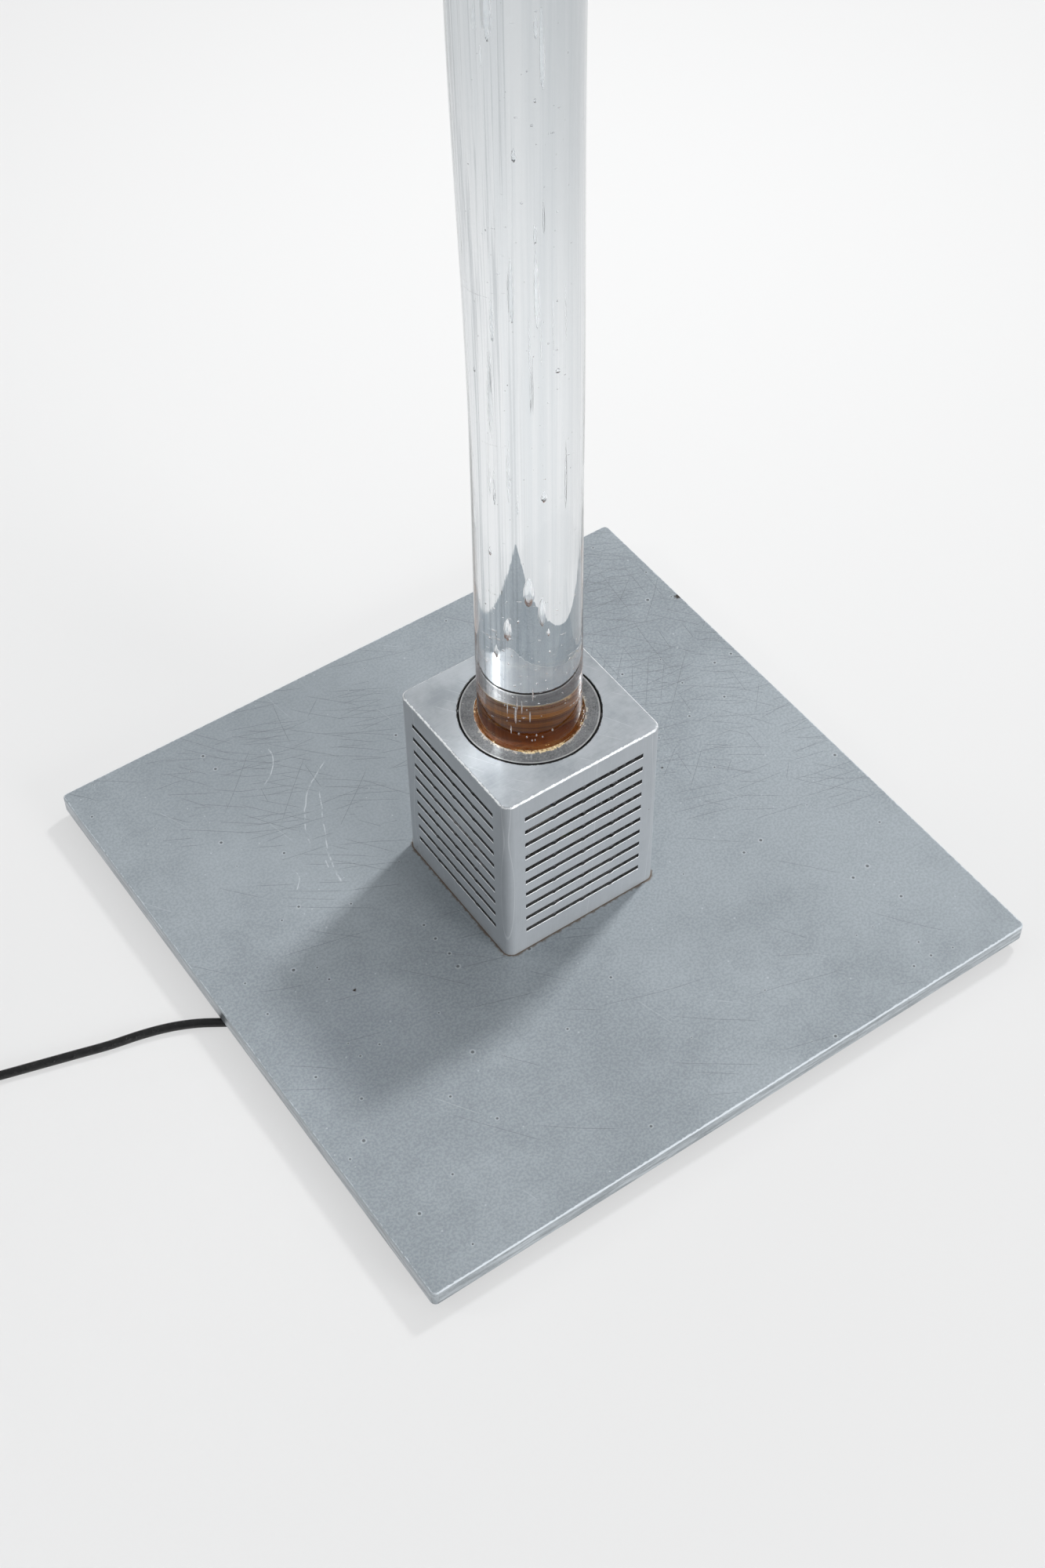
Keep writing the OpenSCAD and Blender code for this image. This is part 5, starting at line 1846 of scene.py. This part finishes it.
        def chance(offset: float, low: Plug = 0.0, high: Plug = 1.0) -> Value:
            """A random number of its own for each bubble."""
            plugs = {2: low, 3: high, 8: seed + offset}
            return bench.value("FunctionNodeRandomValue", plugs, 1, data_type="FLOAT")

        turn = chance(1.0, 0.0, math.tau)
        out = chance(2.0, self.clear_middle).math("SQRT") * given["Radius"] * swarm.reach
        height = chance(3.0, given["Low"], given[swarm.top])
        place = bench.combine(out * turn.math("COSINE"), out * turn.math("SINE"), height)
        points = bench.value("GeometryNodePoints", {"Count": given[swarm.count], "Position": place})
        width = chance(4.0, *swarm.widths)
        shortest, longest = swarm.lengths
        length = shortest + chance(5.0).math("POWER", self.crowding) * (longest - shortest)
        size = bench.combine(width, width, length)
        plugs = {"Points": points, "Instance": drop, "Scale": size}
        return bench.value("GeometryNodeInstanceOnPoints", plugs)


@dataclass
class ResinRing:
    """The resin between rod and collar, drawn up at both walls and lumpy on top."""

    inner: float = 0.03525
    outer: float = 0.03745
    foot: float = 0.1603
    level: float = 0.1811
    creep: float = 0.0009
    lumps: tuple[tuple[float, int, float], ...] = ((0.00035, 7, 1.3), (0.00025, 19, 0.0), (0.00018, 43, 0.7))
    spill: float = -1.93
    spill_half: float = 0.36
    spill_height: float = 0.0013
    spill_bumps: int = 61
    spill_unevenness: float = 0.5
    spill_inwards: float = 1.3
    sides: int = 288
    steps: int = 5

    def build(self) -> None:
        """Make the ring of resin and put it in place of its CAD node."""
        work = bmesh.new()
        columns = []
        for k in range(self.sides):
            turn = math.tau * k / self.sides
            places = [(r * math.cos(turn), r * math.sin(turn), z) for r, z in self.profile(turn)]
            columns.append([work.verts.new(place) for place in places])
        for a, b in zip(columns, columns[1:] + columns[:1]):
            for i in range(len(a)):
                n = (i + 1) % len(a)
                work.faces.new((a[i], b[i], b[n], a[n]))
        bmesh.ops.recalc_face_normals(work, faces=work.faces)
        mesh = to_mesh(work, "resin_ring")
        mesh.shade_smooth()
        mesh.set_sharp_from_angle(angle=math.radians(60))
        mesh.materials.append(AMBER_RESIN.material())
        seat(link("resin_ring", mesh), Body.LAMP, ["resin_seat"])

    def profile(self, turn: float) -> list[tuple[float, float]]:
        """Work out the ring's section at one angle.

        Args:
            turn: The angle round the rod.

        Returns:
            The radius and height of its points, from the inner foot over the top to the outer one.
        """
        lump = sum(height * math.sin(count * turn + start) for height, count, start in self.lumps)
        off_spill = math.remainder(turn - self.spill, math.tau) / self.spill_half
        uneven = 1.0 + self.spill_unevenness * math.sin(self.spill_bumps * turn)
        heap = self.spill_height * max(0.0, 1.0 - off_spill * off_spill) * uneven
        points = [(self.inner, self.foot)]
        for i in range(self.steps + 1):
            share = i / self.steps
            rise = self.creep * (2 * share - 1) ** 2
            hump = (lump + heap * (self.spill_inwards - share)) * math.sin(math.pi * share)
            points.append((self.inner + (self.outer - self.inner) * share, self.level + rise + hump))
        return [*points, (self.outer, self.foot)]


@dataclass
class Base:
    """Plate, collar, slotted housing and the hidden parts, all in their finishes."""

    plate_rounding: float = 0.00025
    housing_rounding: float = 0.0003
    collar_rounding: float = 0.00012

    def build(self) -> None:
        """Dress every CAD node, then put finer pieces in place of the ones that show most."""
        for node, finish in NODE_FINISHES.items():
            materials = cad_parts[node].data.materials
            materials.clear()
            materials.append(finish.material())
        softened("base_plate", "plate", self.plate_rounding)
        softened("housing", "slotted_housing", self.housing_rounding, Body.HOUSING)
        softened("collar", "turned_collar", self.collar_rounding)
        LOG.info("base: %d nodes dressed", len(NODE_FINISHES))


def write_sizes(after: tuple[Vector, Vector]) -> None:
    """Log that the box of what is shown has been worked out.

    Args:
        after: The box of what is shown; not used.
    """
    LOG.info("sizes written")


def main() -> None:
    """Build the scene: studio, base and cords first, then the rod and its resin."""
    logging.basicConfig(level=logging.INFO, format="%(name)s: %(message)s")
    Studio().build()
    Base().build()
    MainsLead().build()
    BubbleRod().build()
    ResinRing().build()
    write_sizes(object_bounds())


if __name__ == "__main__":
    main()
